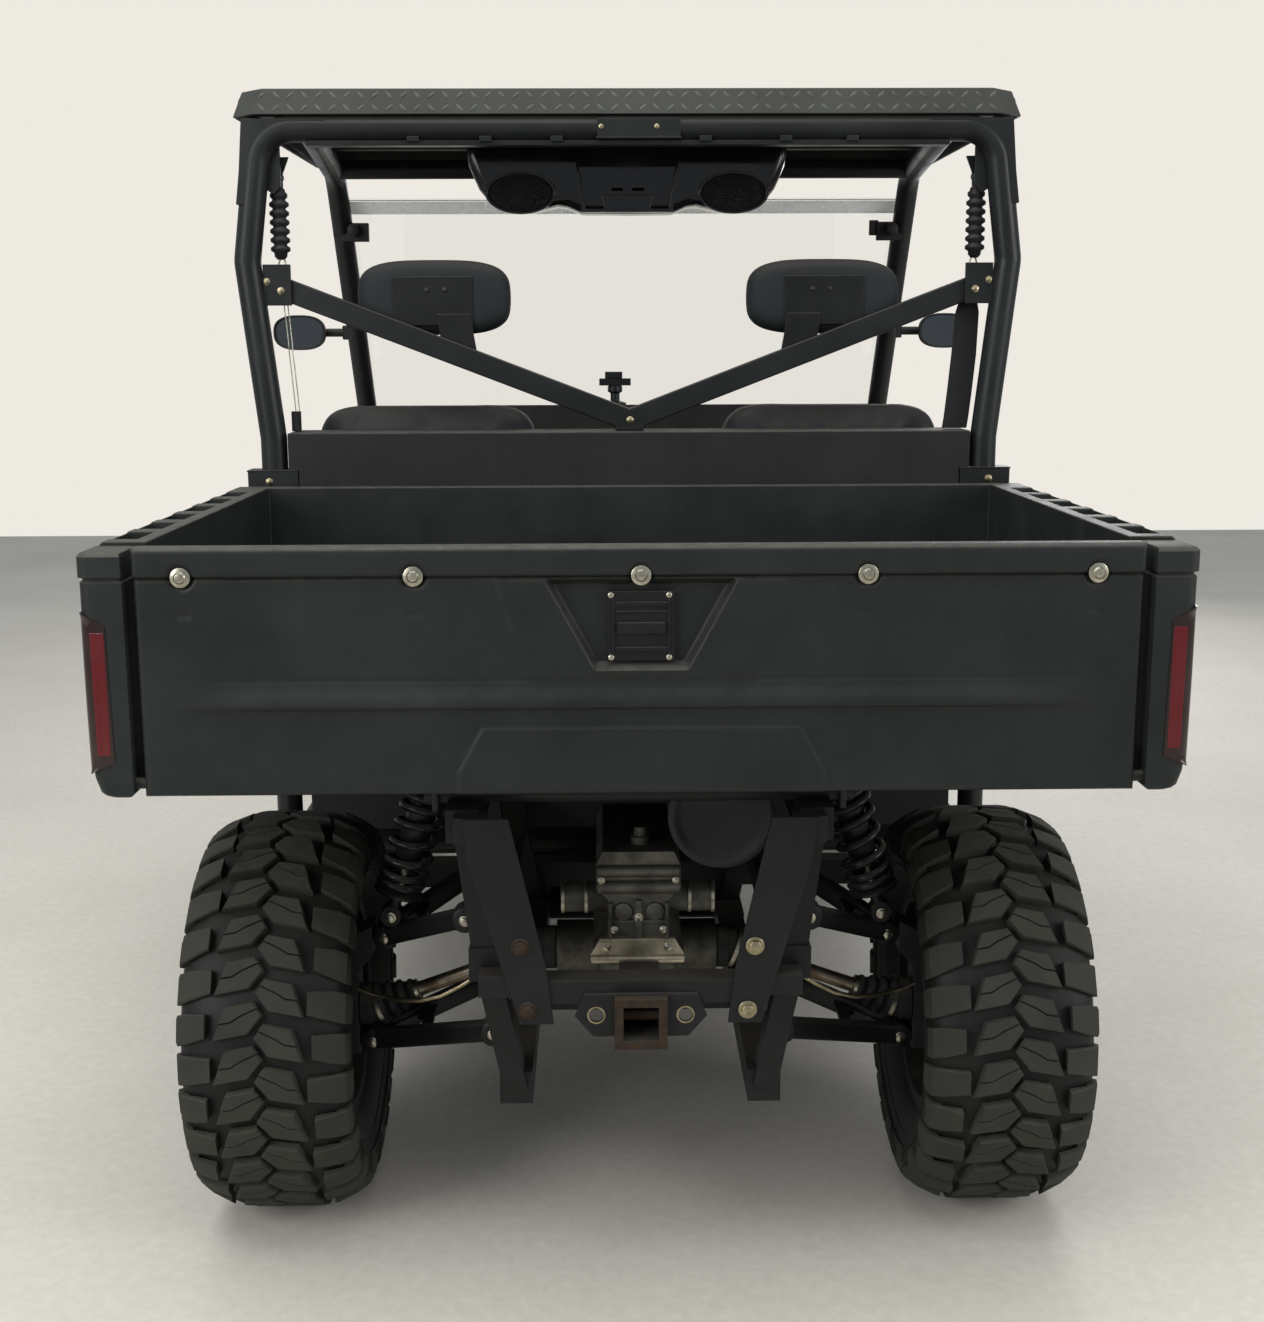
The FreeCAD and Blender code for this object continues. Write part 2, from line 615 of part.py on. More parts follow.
def suspension_arms():
    """Upper and lower wishbones of all four wheels."""
    inner_gap = s.arm_radius + 5 + s.rail_size / 2 + s.clearance_fit
    arms = []
    # axle, inner half, inner height, outer half, outer height, half width of the outer eye
    table = [
        (rear_axle_y, s.middle_rail_half + inner_gap, s.middle_rail_height, s.rear_upper_outer,
         s.rear_upper_outer_height, 14),
        (rear_axle_y, s.lower_rail_half + inner_gap, s.lower_rail_height + 8, s.rear_lower_outer,
         s.rear_lower_outer_height, 14),
        (front_axle_y, front_upper_inner(), s.front_upper_inner_height, s.kingpin_half, ball_upper_z, 0),
        (front_axle_y, s.lower_rail_half + inner_gap, s.lower_rail_height - 2, s.kingpin_half, ball_lower_z, 0),
    ]
    for axle, inner, inner_z, outer, outer_z, apex in table:
        for side in SIDES:
            wishbone = arm(side, axle, inner, inner_z, outer, outer_z, apex)
            if inner == front_upper_inner():
                x = side * s.front_shock_foot
                z = front_shock_bar_z()
                wishbone = fused([wishbone, rod(at(x, axle - 48, z), at(x, axle + 48, z), s.shock_bar)])
            arms.append(wishbone)
    return Part.makeCompound(arms)


add("suspension_arms", suspension_arms())


def rear_upright(side):
    """Hub carrier of a rear wheel, with its spindle and flange."""
    upper = side * (s.rear_upper_outer + s.upright_offset)
    lower = side * (s.rear_lower_outer + s.upright_offset)
    face = side * (rear_wheel_x + s.disc_offset - s.clearance_fit)
    web = slab_y([(upper, s.rear_upper_outer_height + 22), (upper + side * 60, 452),
                  (lower + side * 46, 250), (lower, 250), (lower, 395), (upper, 430)],
                 rear_axle_y - 30, rear_axle_y + 30)
    drum = rod(at(lower, rear_axle_y, axle_z), at(face - side * 14, rear_axle_y, axle_z), 40)
    flange = rod(at(face - side * 14, rear_axle_y, axle_z), at(face, rear_axle_y, axle_z), s.hub_flange_radius)
    nose = rod(at(face, rear_axle_y, axle_z), at(face + side * 34, rear_axle_y, axle_z), s.hub_radius)
    return fused([web, drum, flange, nose])


add("rear_uprights", both_sides(rear_upright))


def half_shaft(side, axle_y, inner_x, inner_z, outer_x):
    """Drive shaft with a folded boot at each end."""
    cup = 30
    start = at(side * (inner_x + cup), axle_y, inner_z)
    end = at(side * (outer_x - cup), axle_y, axle_z)
    along = (end - start).normalize()
    length = (end - start).Length
    boot = 74
    pieces = [rod(start, end, s.shaft_radius)]
    pieces.append(rod(at(side * inner_x, axle_y, inner_z), start + at(side * 12, 0, 0), 38))
    pieces.append(rod(end - at(side * 12, 0, 0), at(side * outer_x, axle_y, axle_z), 38))
    pieces.append(rod(start, start + along * boot, 38, s.shaft_radius + 3))
    pieces.append(rod(start + along * (length - boot), end, s.shaft_radius + 3, 38))
    return fused(pieces)


def half_shafts():
    """All four drive shafts."""
    shafts = []
    for side in SIDES:
        shafts.append(half_shaft(side, rear_axle_y, s.rear_output_half + s.clearance_fit, 430,
                                 s.rear_lower_outer + s.upright_offset - s.clearance_fit))
        shafts.append(half_shaft(side, front_axle_y, s.front_output_half + s.clearance_fit, 400,
                                 s.kingpin_half - 45))
    return Part.makeCompound(shafts)


add("half_shafts", half_shafts())


def shock(top, foot):
    """Coil-over shock: eyes, damper body, spring with its seats."""
    along = (foot - top).normalize()
    length = (foot - top).Length
    pieces = [rod(top, foot, 13)]
    for eye in (top, foot):
        pieces.append(rod(eye - at(0, 19, 0), eye + at(0, 19, 0), s.shock_eye))
    pieces.append(rod(top + along * 34, foot - along * 46, s.shock_radius))
    pieces.append(rod(top + along * 26, top + along * 36, s.shock_radius + 4))
    pieces.append(rod(foot - along * 50, foot - along * 40, s.shock_radius + 4))
    return fused(pieces)


def shocks():
    """The four coil-over shocks."""
    units = []
    for side in SIDES:
        units.append(shock(at(side * s.shock_top_half, rear_shock_y, s.shock_top_height),
                           at(side * (s.rear_upper_outer - 15), rear_shock_y, s.rear_upper_outer_height + 48)))
        tower = s.lower_rail_half + s.tower_post / 2 + s.shock_eye + s.clearance_fit
        units.append(shock(at(side * tower, front_axle_y, s.tower_top - 18),
                           at(side * s.front_shock_foot, front_axle_y,
                              front_shock_bar_z() + s.shock_bar + s.shock_eye + s.clearance_fit)))
    return Part.makeCompound(units)


add("shock_absorbers", shocks())


def front_gearcase():
    """Front drive with its flanges, and the steering rack's housing on it."""
    seat = s.lower_rail_height + s.rail_size / 2 + s.clearance_fit
    case = box((-72, front_axle_y - 75, seat), (72, front_axle_y + 70, 455))
    case = rounded(case, 18, runs_along(Y_AXIS))
    out = s.front_output_half
    outputs = rod(at(-out, front_axle_y, 400), at(out, front_axle_y, 400), 42)
    rack_y = front_axle_y - s.steer_arm
    housing = rod(at(-s.rack_half, rack_y, s.rack_height), at(s.rack_half, rack_y, s.rack_height),
                  s.rod_radius + 11)
    lugs = [box((x - 14, rack_y, s.rack_height - 12), (x + 14, front_axle_y - 74, s.rack_height + 12))
            for x in (-52, 52)]
    body = fused([case, outputs, housing] + lugs)
    bore = rod(at(-s.rack_half - 1, rack_y, s.rack_height), at(s.rack_half + 1, rack_y, s.rack_height),
               s.rod_radius + s.clearance_fit)
    return body.cut(bore)


add("front_gearcase", front_gearcase())


def bumper():
    """Tubular front guard with a lower plate."""
    y = nose_y - s.bumper_radius
    hoop = bent_tube([at(-198, y, 410), at(-300, y, 800), at(300, y, 800), at(198, y, 410)],
                     s.bumper_radius, 62)
    pieces = [hoop, rod(at(-208, y, 450), at(208, y, 450), s.bumper_radius - 3)]
    pieces.append(rod(at(-249, y, 612), at(249, y, 612), s.bumper_radius - 3))
    tower = front_axle_y + s.arm_spread + s.tower_post / 2 + s.clearance_fit
    for side in SIDES:
        x = side * s.lower_rail_half
        pieces.append(rod(at(x, tower, 612), at(x, y, 612), s.bumper_radius - 6))
    return fused(pieces)


add("front_bumper", bumper())


def fender(side):
    """Front fender with its wheel arch."""
    low = s.floor_height
    back = s.floor_front + s.clearance_fit
    outline = [(back, low), (back, 1070), (s.hood_back, 1150), (1120, 1080), (s.fender_front, 985),
               (s.fender_front, 700), (1300, 700), (back + 50, low)]
    inner = side * s.fender_inner
    outer = side * s.fender_outer
    body = slab_x(outline, inner, outer)
    arch = rod(at(inner - side * 400, front_axle_y, s.arch_height),
               at(outer + side * 5, front_axle_y, s.arch_height), s.arch_radius)
    body = body.cut(arch)
    dash = side * (s.cab_half - 45 + s.clearance_fit)
    body = body.cut(box((min(0, dash), back - 1, 960 - s.clearance_fit), (max(0, dash), s.hood_back, 1300)))
    return rounded(body, 26, lambda edge: abs(edge.CenterOfMass.x - outer) < 1 and edge.CenterOfMass.z > 1000)


add("front_fenders", both_sides(fender))


def hood():
    """Front lid between the fenders, crowned and falling to the nose."""
    # place, half width, edge height, crown height
    table = [
        (s.hood_back, s.fender_inner - 5, 1120, s.hood_back_height),
        (1180, s.fender_inner - 5, 1050, 1118),
        (s.fascia_front + 5, s.fender_inner - 30, 940, 1000),
    ]
    sections = []
    for y, half, edge, crown in table:
        corners = [(-half, edge - 45), (-half, edge), (-half * 0.72, crown), (half * 0.72, crown),
                   (half, edge), (half, edge - 45)]
        points = [at(x, y, z) for x, z in corners]
        sections.append(Part.makePolygon(points + [points[0]]))
    return Part.makeLoft(sections, True, True)


add("hood", hood())


def fascia():
    """Nose panel below the hood, with a barred grille."""
    half = s.fender_inner - s.clearance_fit
    back = s.fascia_front - 60
    body = slab_y([(-half, 885), (half, 885), (half - 90, 640), (-half + 90, 640)], back, s.fascia_front)
    hole = slab_y([(-half + 75, 855), (half - 75, 855), (half - 140, 690), (-half + 140, 690)],
                  back - 1, s.fascia_front + 1)
    body = body.cut(hole)
    bars = []
    for number in range(4):
        z = 712 + 38 * number
        bars.append(box((-half + 80, back + 18, z - 5), (half - 80, back + 34, z + 5)))
    bars_in = Part.makeCompound(bars).common(slab_y([(-half + 60, 870), (half - 60, 870), (half - 130, 680),
                                                     (-half + 130, 680)], back, s.fascia_front))
    return body.multiFuse(bars_in.Solids).removeSplitter()


add("front_fascia", fascia())


def headlamp(side):
    """Headlamp set against a fender's nose."""
    inner = side * (s.fender_inner + 30)
    outer = side * (s.fender_outer - 40)
    y = s.fender_front + s.clearance_fit
    outline = [(inner, 850), (inner, 915), (outer, 950), (outer, 880)]
    return slab_y(outline, y, y + 26)


add("headlamps", both_sides(headlamp))


def dashboard():
    """Dashboard across the cab, with a shelf, a closed face and its instrument hood."""
    half = s.cab_half - 45
    y = s.dash_back
    section = [(y, 960), (y - 8, 1090), (y + 34, 1210), (y + 62, s.dash_top), (y + 250, s.dash_top - 8),
               (s.hood_back - s.clearance_fit, 1210), (s.hood_back - s.clearance_fit, 1160), (s.floor_front + 4, 1060),
               (s.floor_front + 4, 960)]
    body = slab_x(section, -half, half)
    pocket = box((120, y - 20, 1010), (half - 60, y + 44, 1085))
    return body.cut(pocket)


add("dashboard", dashboard())


def steering_column():
    """Steering column from the dashboard, with the two pedals on the toe board."""
    slope = radians(s.column_slope)
    hub = at(-s.driver_side, s.steering_hub_place, s.steering_hub_height)
    down = at(0, cos(slope), -sin(slope))
    column = rod(hub + down * 36, hub + down * 175, 27)
    face = s.dash_back - s.clearance_fit
    shade = slab_x([(face, 900), (face - 8, 1090), (face + 34, 1210), (800, 1210), (800, 900)],
                   -s.cab_half, s.cab_half)
    column = column.cut(shade)
    pedals = []
    face = s.floor_front - s.floor_wall
    for x, width in ((-s.driver_side - 40, 84), (-s.driver_side + 90, 52)):
        stem = flat_bar(at(x, face, 700), at(x, face - 90, 590), 16, 16, X_AXIS)
        pad = flat_bar(at(x, face - 84, 610), at(x, face - 114, 540), 12, width, X_AXIS)
        beyond = box((x - 60, face - s.clearance_fit, 500), (x + 60, face + 60, 800))
        pedals.append(fused([stem, pad]).cut(beyond))
    return Part.makeCompound([column] + pedals)


add("steering_column", steering_column())


def seat_back_front():
    """Place of the seat backs' front face where they meet the cushions."""
    rise = s.panel_top - s.seat_base_top
    return -s.seat_back_place + s.clearance_fit + rise * tan(radians(s.back_lean)) + s.back_wall


def cushion(side):
    """Seat cushion: one plain padded block."""
    inner = side * s.seat_inner
    outer = side * s.seat_outer
    low = s.seat_base_top + s.clearance_fit
    y = seat_back_front() + s.clearance_fit
    block = box((min(inner, outer), y, low), (max(inner, outer), y + s.cushion_length, low + s.cushion_height))
    return rounded(block, 34, lambda edge: edge.CenterOfMass.z > low + s.cushion_height / 2)


def seat_back(side):
    """Seat back: a padded block that leans to the rear and narrows at the top."""
    low = s.seat_base_top + s.clearance_fit
    inner = side * s.seat_inner
    outer = side * s.seat_outer
    front = seat_back_front()
    outline = [(inner, low), (inner, s.back_top - 52), (inner + side * 48, s.back_top),
               (outer - side * 80, s.back_top), (outer, s.back_top - 52), (outer, low)]
    block = slab_y(outline, front, front - s.back_wall)
    lean = tan(radians(s.back_lean))
    matrix = FreeCAD.Matrix()
    matrix.A23 = -lean
    matrix.A24 = lean * low
    return block.transformGeometry(matrix)


def seats():
    """Both cushions and both backs."""
    return Part.makeCompound([maker(side) for maker in (cushion, seat_back) for side in SIDES])


add("seats", seats())


def rear_cab_panel():
    """Panel and ledge behind the seats, down to the floor."""
    back = -s.panel_back
    front = back + s.panel_depth
    wall = 12
    section = [(back, s.floor_height + 60), (back, s.panel_top), (front, s.panel_top),
               (front, s.panel_top - 14), (back + wall, s.panel_top - 14), (back + wall, s.floor_height + 60)]
    body = slab_x(section, -s.panel_half, s.panel_half)
    for side in SIDES:
        inner = side * (s.hoop_foot_half - s.socket_half - s.clearance_fit)
        outer = side * (s.panel_half + 1)
        body = body.cut(box((min(inner, outer), back - 1, s.floor_height),
                            (max(inner, outer), front, s.socket_height + s.clearance_fit)))
    return body


add("rear_cab_panel", rear_cab_panel())


def rear_hoop():
    """Rear hoop of the cage: bowed legs in foot sockets under one top beam."""
    y = -s.hoop_place
    foot = outrigger_z + s.rail_size / 2
    half = [at(-s.hoop_foot_half, y, foot), at(-s.hoop_foot_half, y, s.socket_height + 60),
            at(-s.hoop_belly_half, y, s.hoop_belly_height), at(-s.hoop_top_half, y, s.hoop_top_height)]
    path = half + [at(-point.x, y, point.z) for point in reversed(half)]
    tube = bent_tube(path, s.cage_radius, 70)
    sockets = []
    for side in SIDES:
        x = side * s.hoop_foot_half
        sockets.append(box((x - s.socket_half, y - 27, s.socket_height - 74),
                           (x + s.socket_half - 0, y + 27, s.socket_height)))
    brackets = []
    for side in SIDES:
        x = side * (s.hoop_belly_half - 28)
        brackets.append(box((min(x, x - side * 52), y - 4, s.brace_end_height - 38),
                            (max(x, x - side * 52), y + 4, s.brace_end_height + 38)))
    return fused([tube] + sockets + brackets)


add("rear_hoop", rear_hoop())


def x_brace():
    """Two flat tubes from the hoop's brackets to one bolt in the middle."""
    y = -s.hoop_place + 4 + s.clearance_fit + s.brace_wall / 2
    bars = []
    for side in SIDES:
        outer = at(side * (s.hoop_belly_half - 62), y, s.brace_end_height - 6)
        bars.append(flat_bar(outer, at(-side * 30, y, s.brace_mid_height - 12), s.brace_depth, s.brace_wall,
                             Y_AXIS))
    ledge = box((-200, y - 60, s.panel_top - 100), (200, y + 60, s.panel_top + s.clearance_fit))
    return fused(bars).cut(ledge)


add("x_brace", x_brace())


def cage_front():
    """Side tubes of the roof with the front pillars, and the tubes across between them."""
    top = s.hoop_top_height
    pillars = []
    for side in SIDES:
        x = side * s.pillar_half
        start_x = s.hoop_top_half - 90
        toe = (s.pillar_half - start_x) / (s.pillar_top_place + s.hoop_place)
        start = at(side * start_x, -s.hoop_place + s.cage_radius * (1 + toe) + s.clearance_fit, top)
        path = [start, at(x, s.pillar_top_place, top), at(x, s.pillar_foot_place, s.pillar_foot_height)]
        pillars.append(bent_tube(path, s.cage_radius, 110))
    bar_y = s.pillar_top_place - 120
    bar = rod(at(-s.pillar_half, bar_y, top), at(s.pillar_half, bar_y, top), s.cage_radius - 4)
    return fused(pillars + [bar])


add("cage_front", cage_front())


def roof():
    """Folded sheet roof with cut corners, open underneath."""
    def outline(half, back, front, cut, z):
        points = [(-half + cut, back), (half - cut, back), (half, back + cut), (half, front - cut),
                  (half - cut, front), (-half + cut, front), (-half, front - cut), (-half, back + cut)]
        corners = [at(x, y, z) for x, y in points]
        return Part.makePolygon(corners + [corners[0]])

    back = -s.roof_back
    front = s.roof_front
    slant = s.roof_half_low - s.roof_half_top
    wall = s.roof_wall
    outer = Part.makeLoft([outline(s.roof_half_low, back, front, s.roof_corner, s.roof_low),
                           outline(s.roof_half_top, back + slant, front - slant, s.roof_corner, s.roof_top)],
                          True, True)
    inner = Part.makeLoft([outline(s.roof_half_low - wall, back + wall, front - wall, s.roof_corner,
                                   s.roof_low - wall),
                           outline(s.roof_half_top - wall, back + slant + wall, front - slant - wall,
                                   s.roof_corner, s.roof_top - wall)], True, True)
    shell = outer.cut(inner)
    ribs = []
    first = back + 60
    pitch = (front - 130 - first) / 3
    for number in range(4):
        y = first + number * pitch
        ribs.append(box((-s.roof_half_top + 30, y, roof_rib_low),
                        (s.roof_half_top - 30, y + 34, s.roof_top - wall + 1)))
    return fused([shell] + ribs)


add("roof", roof())


def overhead_pod():
    """Speaker pod below the roof: two round lobes beside a middle unit."""
    back = -s.pod_back
    front = back + s.pod_depth
    top = roof_rib_low - s.clearance_fit
    bridge = slab_y([(-s.pod_half, top), (s.pod_half, top), (s.pod_half - 60, top - 75),
                     (-s.pod_half + 60, top - 75)], back, front)
    lobes = []
    for side in SIDES:
        middle = at(side * s.pod_lobe_half, back, s.pod_low + 8 + s.pod_lobe_radius)
        lobes.append(rod(middle, middle + at(0, s.pod_depth, 0), s.pod_lobe_radius))
    middle_unit = slab_y([(-s.pod_mid_half, top - 30), (s.pod_mid_half, top - 30), (s.pod_mid_half - 10, s.pod_low),
                          (-s.pod_mid_half + 10, s.pod_low)], back - 8, front)
    return fused([bridge, middle_unit] + lobes)


add("overhead_pod", overhead_pod())


def headrest(side):
    """Headrest: a plain padded block with round corners."""
    inner = side * s.headrest_inner
    outer = side * s.headrest_outer
    y = -s.hoop_place + 4 + s.clearance_fit + s.brace_wall + s.clearance_fit
    block = box((min(inner, outer), y, s.headrest_low), (max(inner, outer), y + s.headrest_wall, s.headrest_top))
    return rounded(block, 42, runs_along(Y_AXIS))


add("headrests", both_sides(headrest))


def windshield():
    """Clear panel in front of the pillars with a stiff strip at its top."""
    top = s.hoop_top_height
    rise = top - s.pillar_foot_height
    run = s.pillar_foot_place - s.pillar_top_place
    along = at(0, -run, rise).normalize()
    out = at(0, rise, run).normalize()
    foot = at(0, s.pillar_foot_place, s.pillar_foot_height) + out * (s.cage_radius + s.clearance_fit) + along * 75
    half = s.pillar_half + 4
    length = sqrt(rise * rise + run * run) - 160
    corners = [foot + at(-half, 0, 0), foot + at(half, 0, 0), foot + at(half, 0, 0) + along * length,
               foot + at(-half, 0, 0) + along * length]
    panel = face_of(corners).extrude(out * s.screen_wall)
    strip_foot = foot + along * (length - 36)
    corners = [strip_foot + at(-half, 0, 0), strip_foot + at(half, 0, 0), strip_foot + at(half, 0, 0) + along * 36,
               strip_foot + at(-half, 0, 0) + along * 36]
    strip = face_of(corners).extrude(out * (s.screen_wall + 7))
    return fused([panel, strip])


add("windshield", windshield())


def mirror(side):
    """Side mirror: shell on a short arm clamped to a pillar."""
    inner = side * s.mirror_inner
    outer = side * s.mirror_outer
    middle = (s.mirror_low + s.mirror_top) / 2
    pillar_y = s.pillar_foot_place - pillar_slope * (middle - s.pillar_foot_height)
    y = pillar_y - s.mirror_depth / 2
    shell = box((min(inner, outer), y, s.mirror_low), (max(inner, outer), y + s.mirror_depth, s.mirror_top))
    shell = rounded(shell, 24, runs_along(Y_AXIS))
    post = at(side * (s.pillar_half + s.cage_radius + s.clearance_fit), pillar_y, middle)
    arm_bar = rod(post, at(inner + side * 20, pillar_y, middle), 11)
    return fused([shell, arm_bar])


add("mirrors", both_sides(mirror))


def seat_belt(side):
    """Belt hanger: bracket, rubber boot and the webbing below it."""
    y = -s.hoop_place + s.cage_radius + s.clearance_fit + 3
    x = side * 660
    boot = rod(at(x, y, 1737), at(x, y, 1596), 23)
    stem = rod(at(x, y, 1596), at(x, y, 1556), 5)
    web = box((x - 24, y - 1.5, s.panel_top + s.clearance_fit), (x + 24, y + 1.5, 1556))
    near = x - side * 14
    far = side * (s.hoop_top_half + 14)
    tab = box((min(near, far), y - 3, 1735), (max(near, far), y + 3, 1790))
    return fused([boot, stem, web, tab])


add("seat_belts", both_sides(seat_belt))


# Front knuckles: each is a moving body of its own
def knuckle(side):
    """Front hub carrier with ball joint lugs, spindle, flange and steering arm."""
    x = side * s.kingpin_half
    face = side * (front_wheel_x + s.disc_offset - s.clearance_fit)
    low = s.ball_lower_height
    top = s.ball_upper_height
    boss = s.knuckle_boss
    web = box((x - 20, front_axle_y - 30, low + boss), (x + 20, front_axle_y + 30, top - boss))
    studs = rod(at(x, front_axle_y, low), at(x, front_axle_y, top), s.knuckle_stud)
    drum = rod(at(x - side * 10, front_axle_y, axle_z), at(face - side * 14, front_axle_y, axle_z), 44)
    flange = rod(at(face - side * 14, front_axle_y, axle_z), at(face, front_axle_y, axle_z),
                 s.hub_flange_radius)
    nose = rod(at(face, front_axle_y, axle_z), at(face + side * 34, front_axle_y, axle_z), s.hub_radius)
    steer = box((x - 14, front_axle_y - s.steer_arm - 14, s.rack_height - 30),
                (x + 14, front_axle_y - 20, s.rack_height - s.rod_radius - 8))
    return fused([web, studs, drum, flange, nose, steer])


add("front_knuckle_left", knuckle(-1))
add("front_knuckle_right", knuckle(1))


def steering_rack():
    """Rack bar with both track rods, ending in eyes over the steering arms."""
    y = front_axle_y - s.steer_arm
    z = s.rack_height
    end = s.kingpin_half
    bar = rod(at(-end + 12, y, z), at(end - 12, y, z), s.rod_radius)
    eyes = []
    for side in SIDES:
        x = side * end
        eye = rod(at(x, y, z - s.rod_radius - 1), at(x, y, z + s.rod_radius + 1), 15)
        eyes.append(eye)
    return fused([bar] + eyes)


add("steering_rack", steering_rack())


def tyre(side, axle_y, middle_x, width):
    """Tyre as a closed ring out to the tips of its lugs."""
    half = width / 2
    bead = s.rim_radius + s.clearance_fit
    outer = s.tyre_radius
    seat = half - s.bead_inset
    lip = bead + s.rim_flange + 2
    right = [(seat, bead), (seat, lip), (seat + 22, lip + 18), (half - 3, bead + 72), (half, outer - 62),
             (half - 8, outer - 34), (half - 34, outer - 10), (half - 78, outer)]
    left = [(-x, radius) for x, radius in reversed(right)]
    return revolved_x(right + left, at(side * middle_x, axle_y, axle_z))


def rim(side, axle_y, middle_x, width):
    """Wheel rim: barrel with lips, a disc with vent holes and a hub bore."""
    seat = s.rim_radius
    lip = seat + s.rim_flange
    inner = seat - s.rim_wall
    bead = width / 2 - s.bead_inset + s.clearance_fit
    centre = at(side * middle_x, axle_y, axle_z)
    profile = [(-bead - 8, lip), (-bead, lip), (-bead, seat), (bead, seat), (bead, lip), (bead + 8, lip),
               (bead + 8, inner), (-bead - 8, inner)]
    barrel = revolved_x(profile, centre)
    start = s.disc_offset
    disc = revolved_x([(side * start, s.hub_radius + s.clearance_fit), (side * (start + s.disc_wall),
                       s.hub_radius + s.clearance_fit), (side * (start + s.disc_wall), inner + 1),
                       (side * start, inner + 1)], centre)
    body = fused([barrel, disc])
    holes = []
    for number in range(8):
        angle = 2 * pi * number / 8
        spot = centre + at(side * (start - 5), 118 * cos(angle), 118 * sin(angle))
        holes.append(rod(spot, spot + at(side * (s.disc_wall + 10), 0, 0), 24))
    return body.cut(Part.makeCompound(holes))


# place name, side, axle, wheel centre, tyre width
WHEELS = [
    ("front_left", -1, front_axle_y, front_wheel_x, s.front_tyre_width),
    ("front_right", 1, front_axle_y, front_wheel_x, s.front_tyre_width),
    ("rear_left", -1, rear_axle_y, rear_wheel_x, s.rear_tyre_width),
    ("rear_right", 1, rear_axle_y, rear_wheel_x, s.rear_tyre_width),
]
for place, side, axle, middle, width in WHEELS:
    add(f"tyre_{place}", tyre(side, axle, middle, width))
    add(f"rim_{place}", rim(side, axle, middle, width))


# Cargo bed
def bed_box():
    """Floor, side rails with scoops, front wall, sills and hinge ears of the cargo bed."""
    front = tail_y + s.bed_length + s.bed_front_wall
    wall_back = tail_y + s.post_depth
    floor_low = s.bed_floor_top - s.bed_floor_wall
    floor_back = tail_y + s.gate_wall + 10
    floor = box((-s.bed_inner_half - 5, floor_back, floor_low), (s.bed_inner_half + 5, front, s.bed_floor_top))
    pieces = [floor]
    for side in SIDES:
        inner = side * s.bed_inner_half
        outer = side * s.bed_half
        outline = [(inner, floor_low), (outer - side * 12, s.bed_low), (outer - side * 3, s.bed_low),
                   (outer, s.bed_low + 60), (outer, s.bed_top - 14), (outer - side * 14, s.bed_top),
                   (inner, s.bed_top)]
        pieces.append(slab_y(outline, wall_back, front))
    pieces.append(box((-s.bed_inner_half - 2, front - s.bed_front_wall, s.bed_low), (s.bed_inner_half + 2, front,
                                                                                     s.bed_top)))
    sill_low = s.upper_rail_height + s.rail_size / 2 + s.clearance_fit
    for side in SIDES:
        x = side * s.upper_rail_half
        half = s.bed_sill_half / 2
        pieces.append(box((x - half, bed_pin_y + 60, sill_low), (x + half, front - 40, floor_low + 1)))
        ear_x = side * (s.upper_rail_half + s.rail_size / 2 + 12)
        ear = slab_x([(bed_pin_y - 42, floor_low + 1), (bed_pin_y - 24, s.bed_pin_height - 22),
                      (bed_pin_y + 24, s.bed_pin_height - 22), (bed_pin_y + 42, floor_low + 1)],
                     ear_x, ear_x + side * 10)
        pin_hole = rod(at(ear_x - side * 5, bed_pin_y, s.bed_pin_height),
                       at(ear_x + side * 20, bed_pin_y, s.bed_pin_height), s.bed_pin_radius + s.clearance_fit)
        pieces.append(ear.cut(pin_hole))
    body = fused(pieces)
    scoops = []
    for side in SIDES:
        for number in range(6):
            y = tail_y + s.scoop_first + number * s.scoop_pitch
            x = side * (s.bed_inner_half + 22)
            far = side * (s.bed_half - 12)
            scoops.append(box((min(x, far), y, s.bed_top - s.scoop_depth),
                              (max(x, far), y + s.scoop_length, s.bed_top + 1)))
    return body.cut(Part.makeCompound(scoops))


add("bed_box", bed_box())


def corner_post(side):
    """Rear corner of the bed with the tail lamp's pocket and the tailgate's hinge pin."""
    inner = side * s.post_inner
    outer = side * s.bed_half
    back = tail_y
    front = tail_y + s.post_depth - s.clearance_fit
    post = box((min(inner, outer), back, s.bed_low), (max(inner, outer), front, s.bed_top - 5))
    post = rounded(post, 14, lambda edge: runs_along(Z_AXIS)(edge) and abs(edge.CenterOfMass.x - outer) < 1
                   and edge.CenterOfMass.y < back + 1)
    low = s.lamp_inner
    pocket = box((min(side * low, outer + side), back - 1, s.lamp_low), (max(side * low, outer + side),
                                                                         back + 34, s.lamp_top))
    post = post.cut(pocket)
    pin = rod(at(inner + side * 6, gate_pin_y, gate_pin_z), at(inner - side * 36, gate_pin_y, gate_pin_z),
              s.gate_pin_radius)
    return fused([post, pin])


add("corner_posts", both_sides(corner_post))


def tail_lamp(side):
    """Tail lamp in its corner pocket."""
    gap = s.clearance_fit
    inner = side * (s.lamp_inner + gap)
    outer = side * (s.bed_half - 1)
    back = tail_y + 1
    lamp = box((min(inner, outer), back, s.lamp_low + gap), (max(inner, outer), tail_y + 34 - gap,
                                                             s.lamp_top - gap))
    return rounded(lamp, 13, lambda edge: runs_along(Z_AXIS)(edge) and abs(edge.CenterOfMass.x - outer) < 1
                   and edge.CenterOfMass.y < back + 1)


add("tail_lamps", both_sides(tail_lamp))


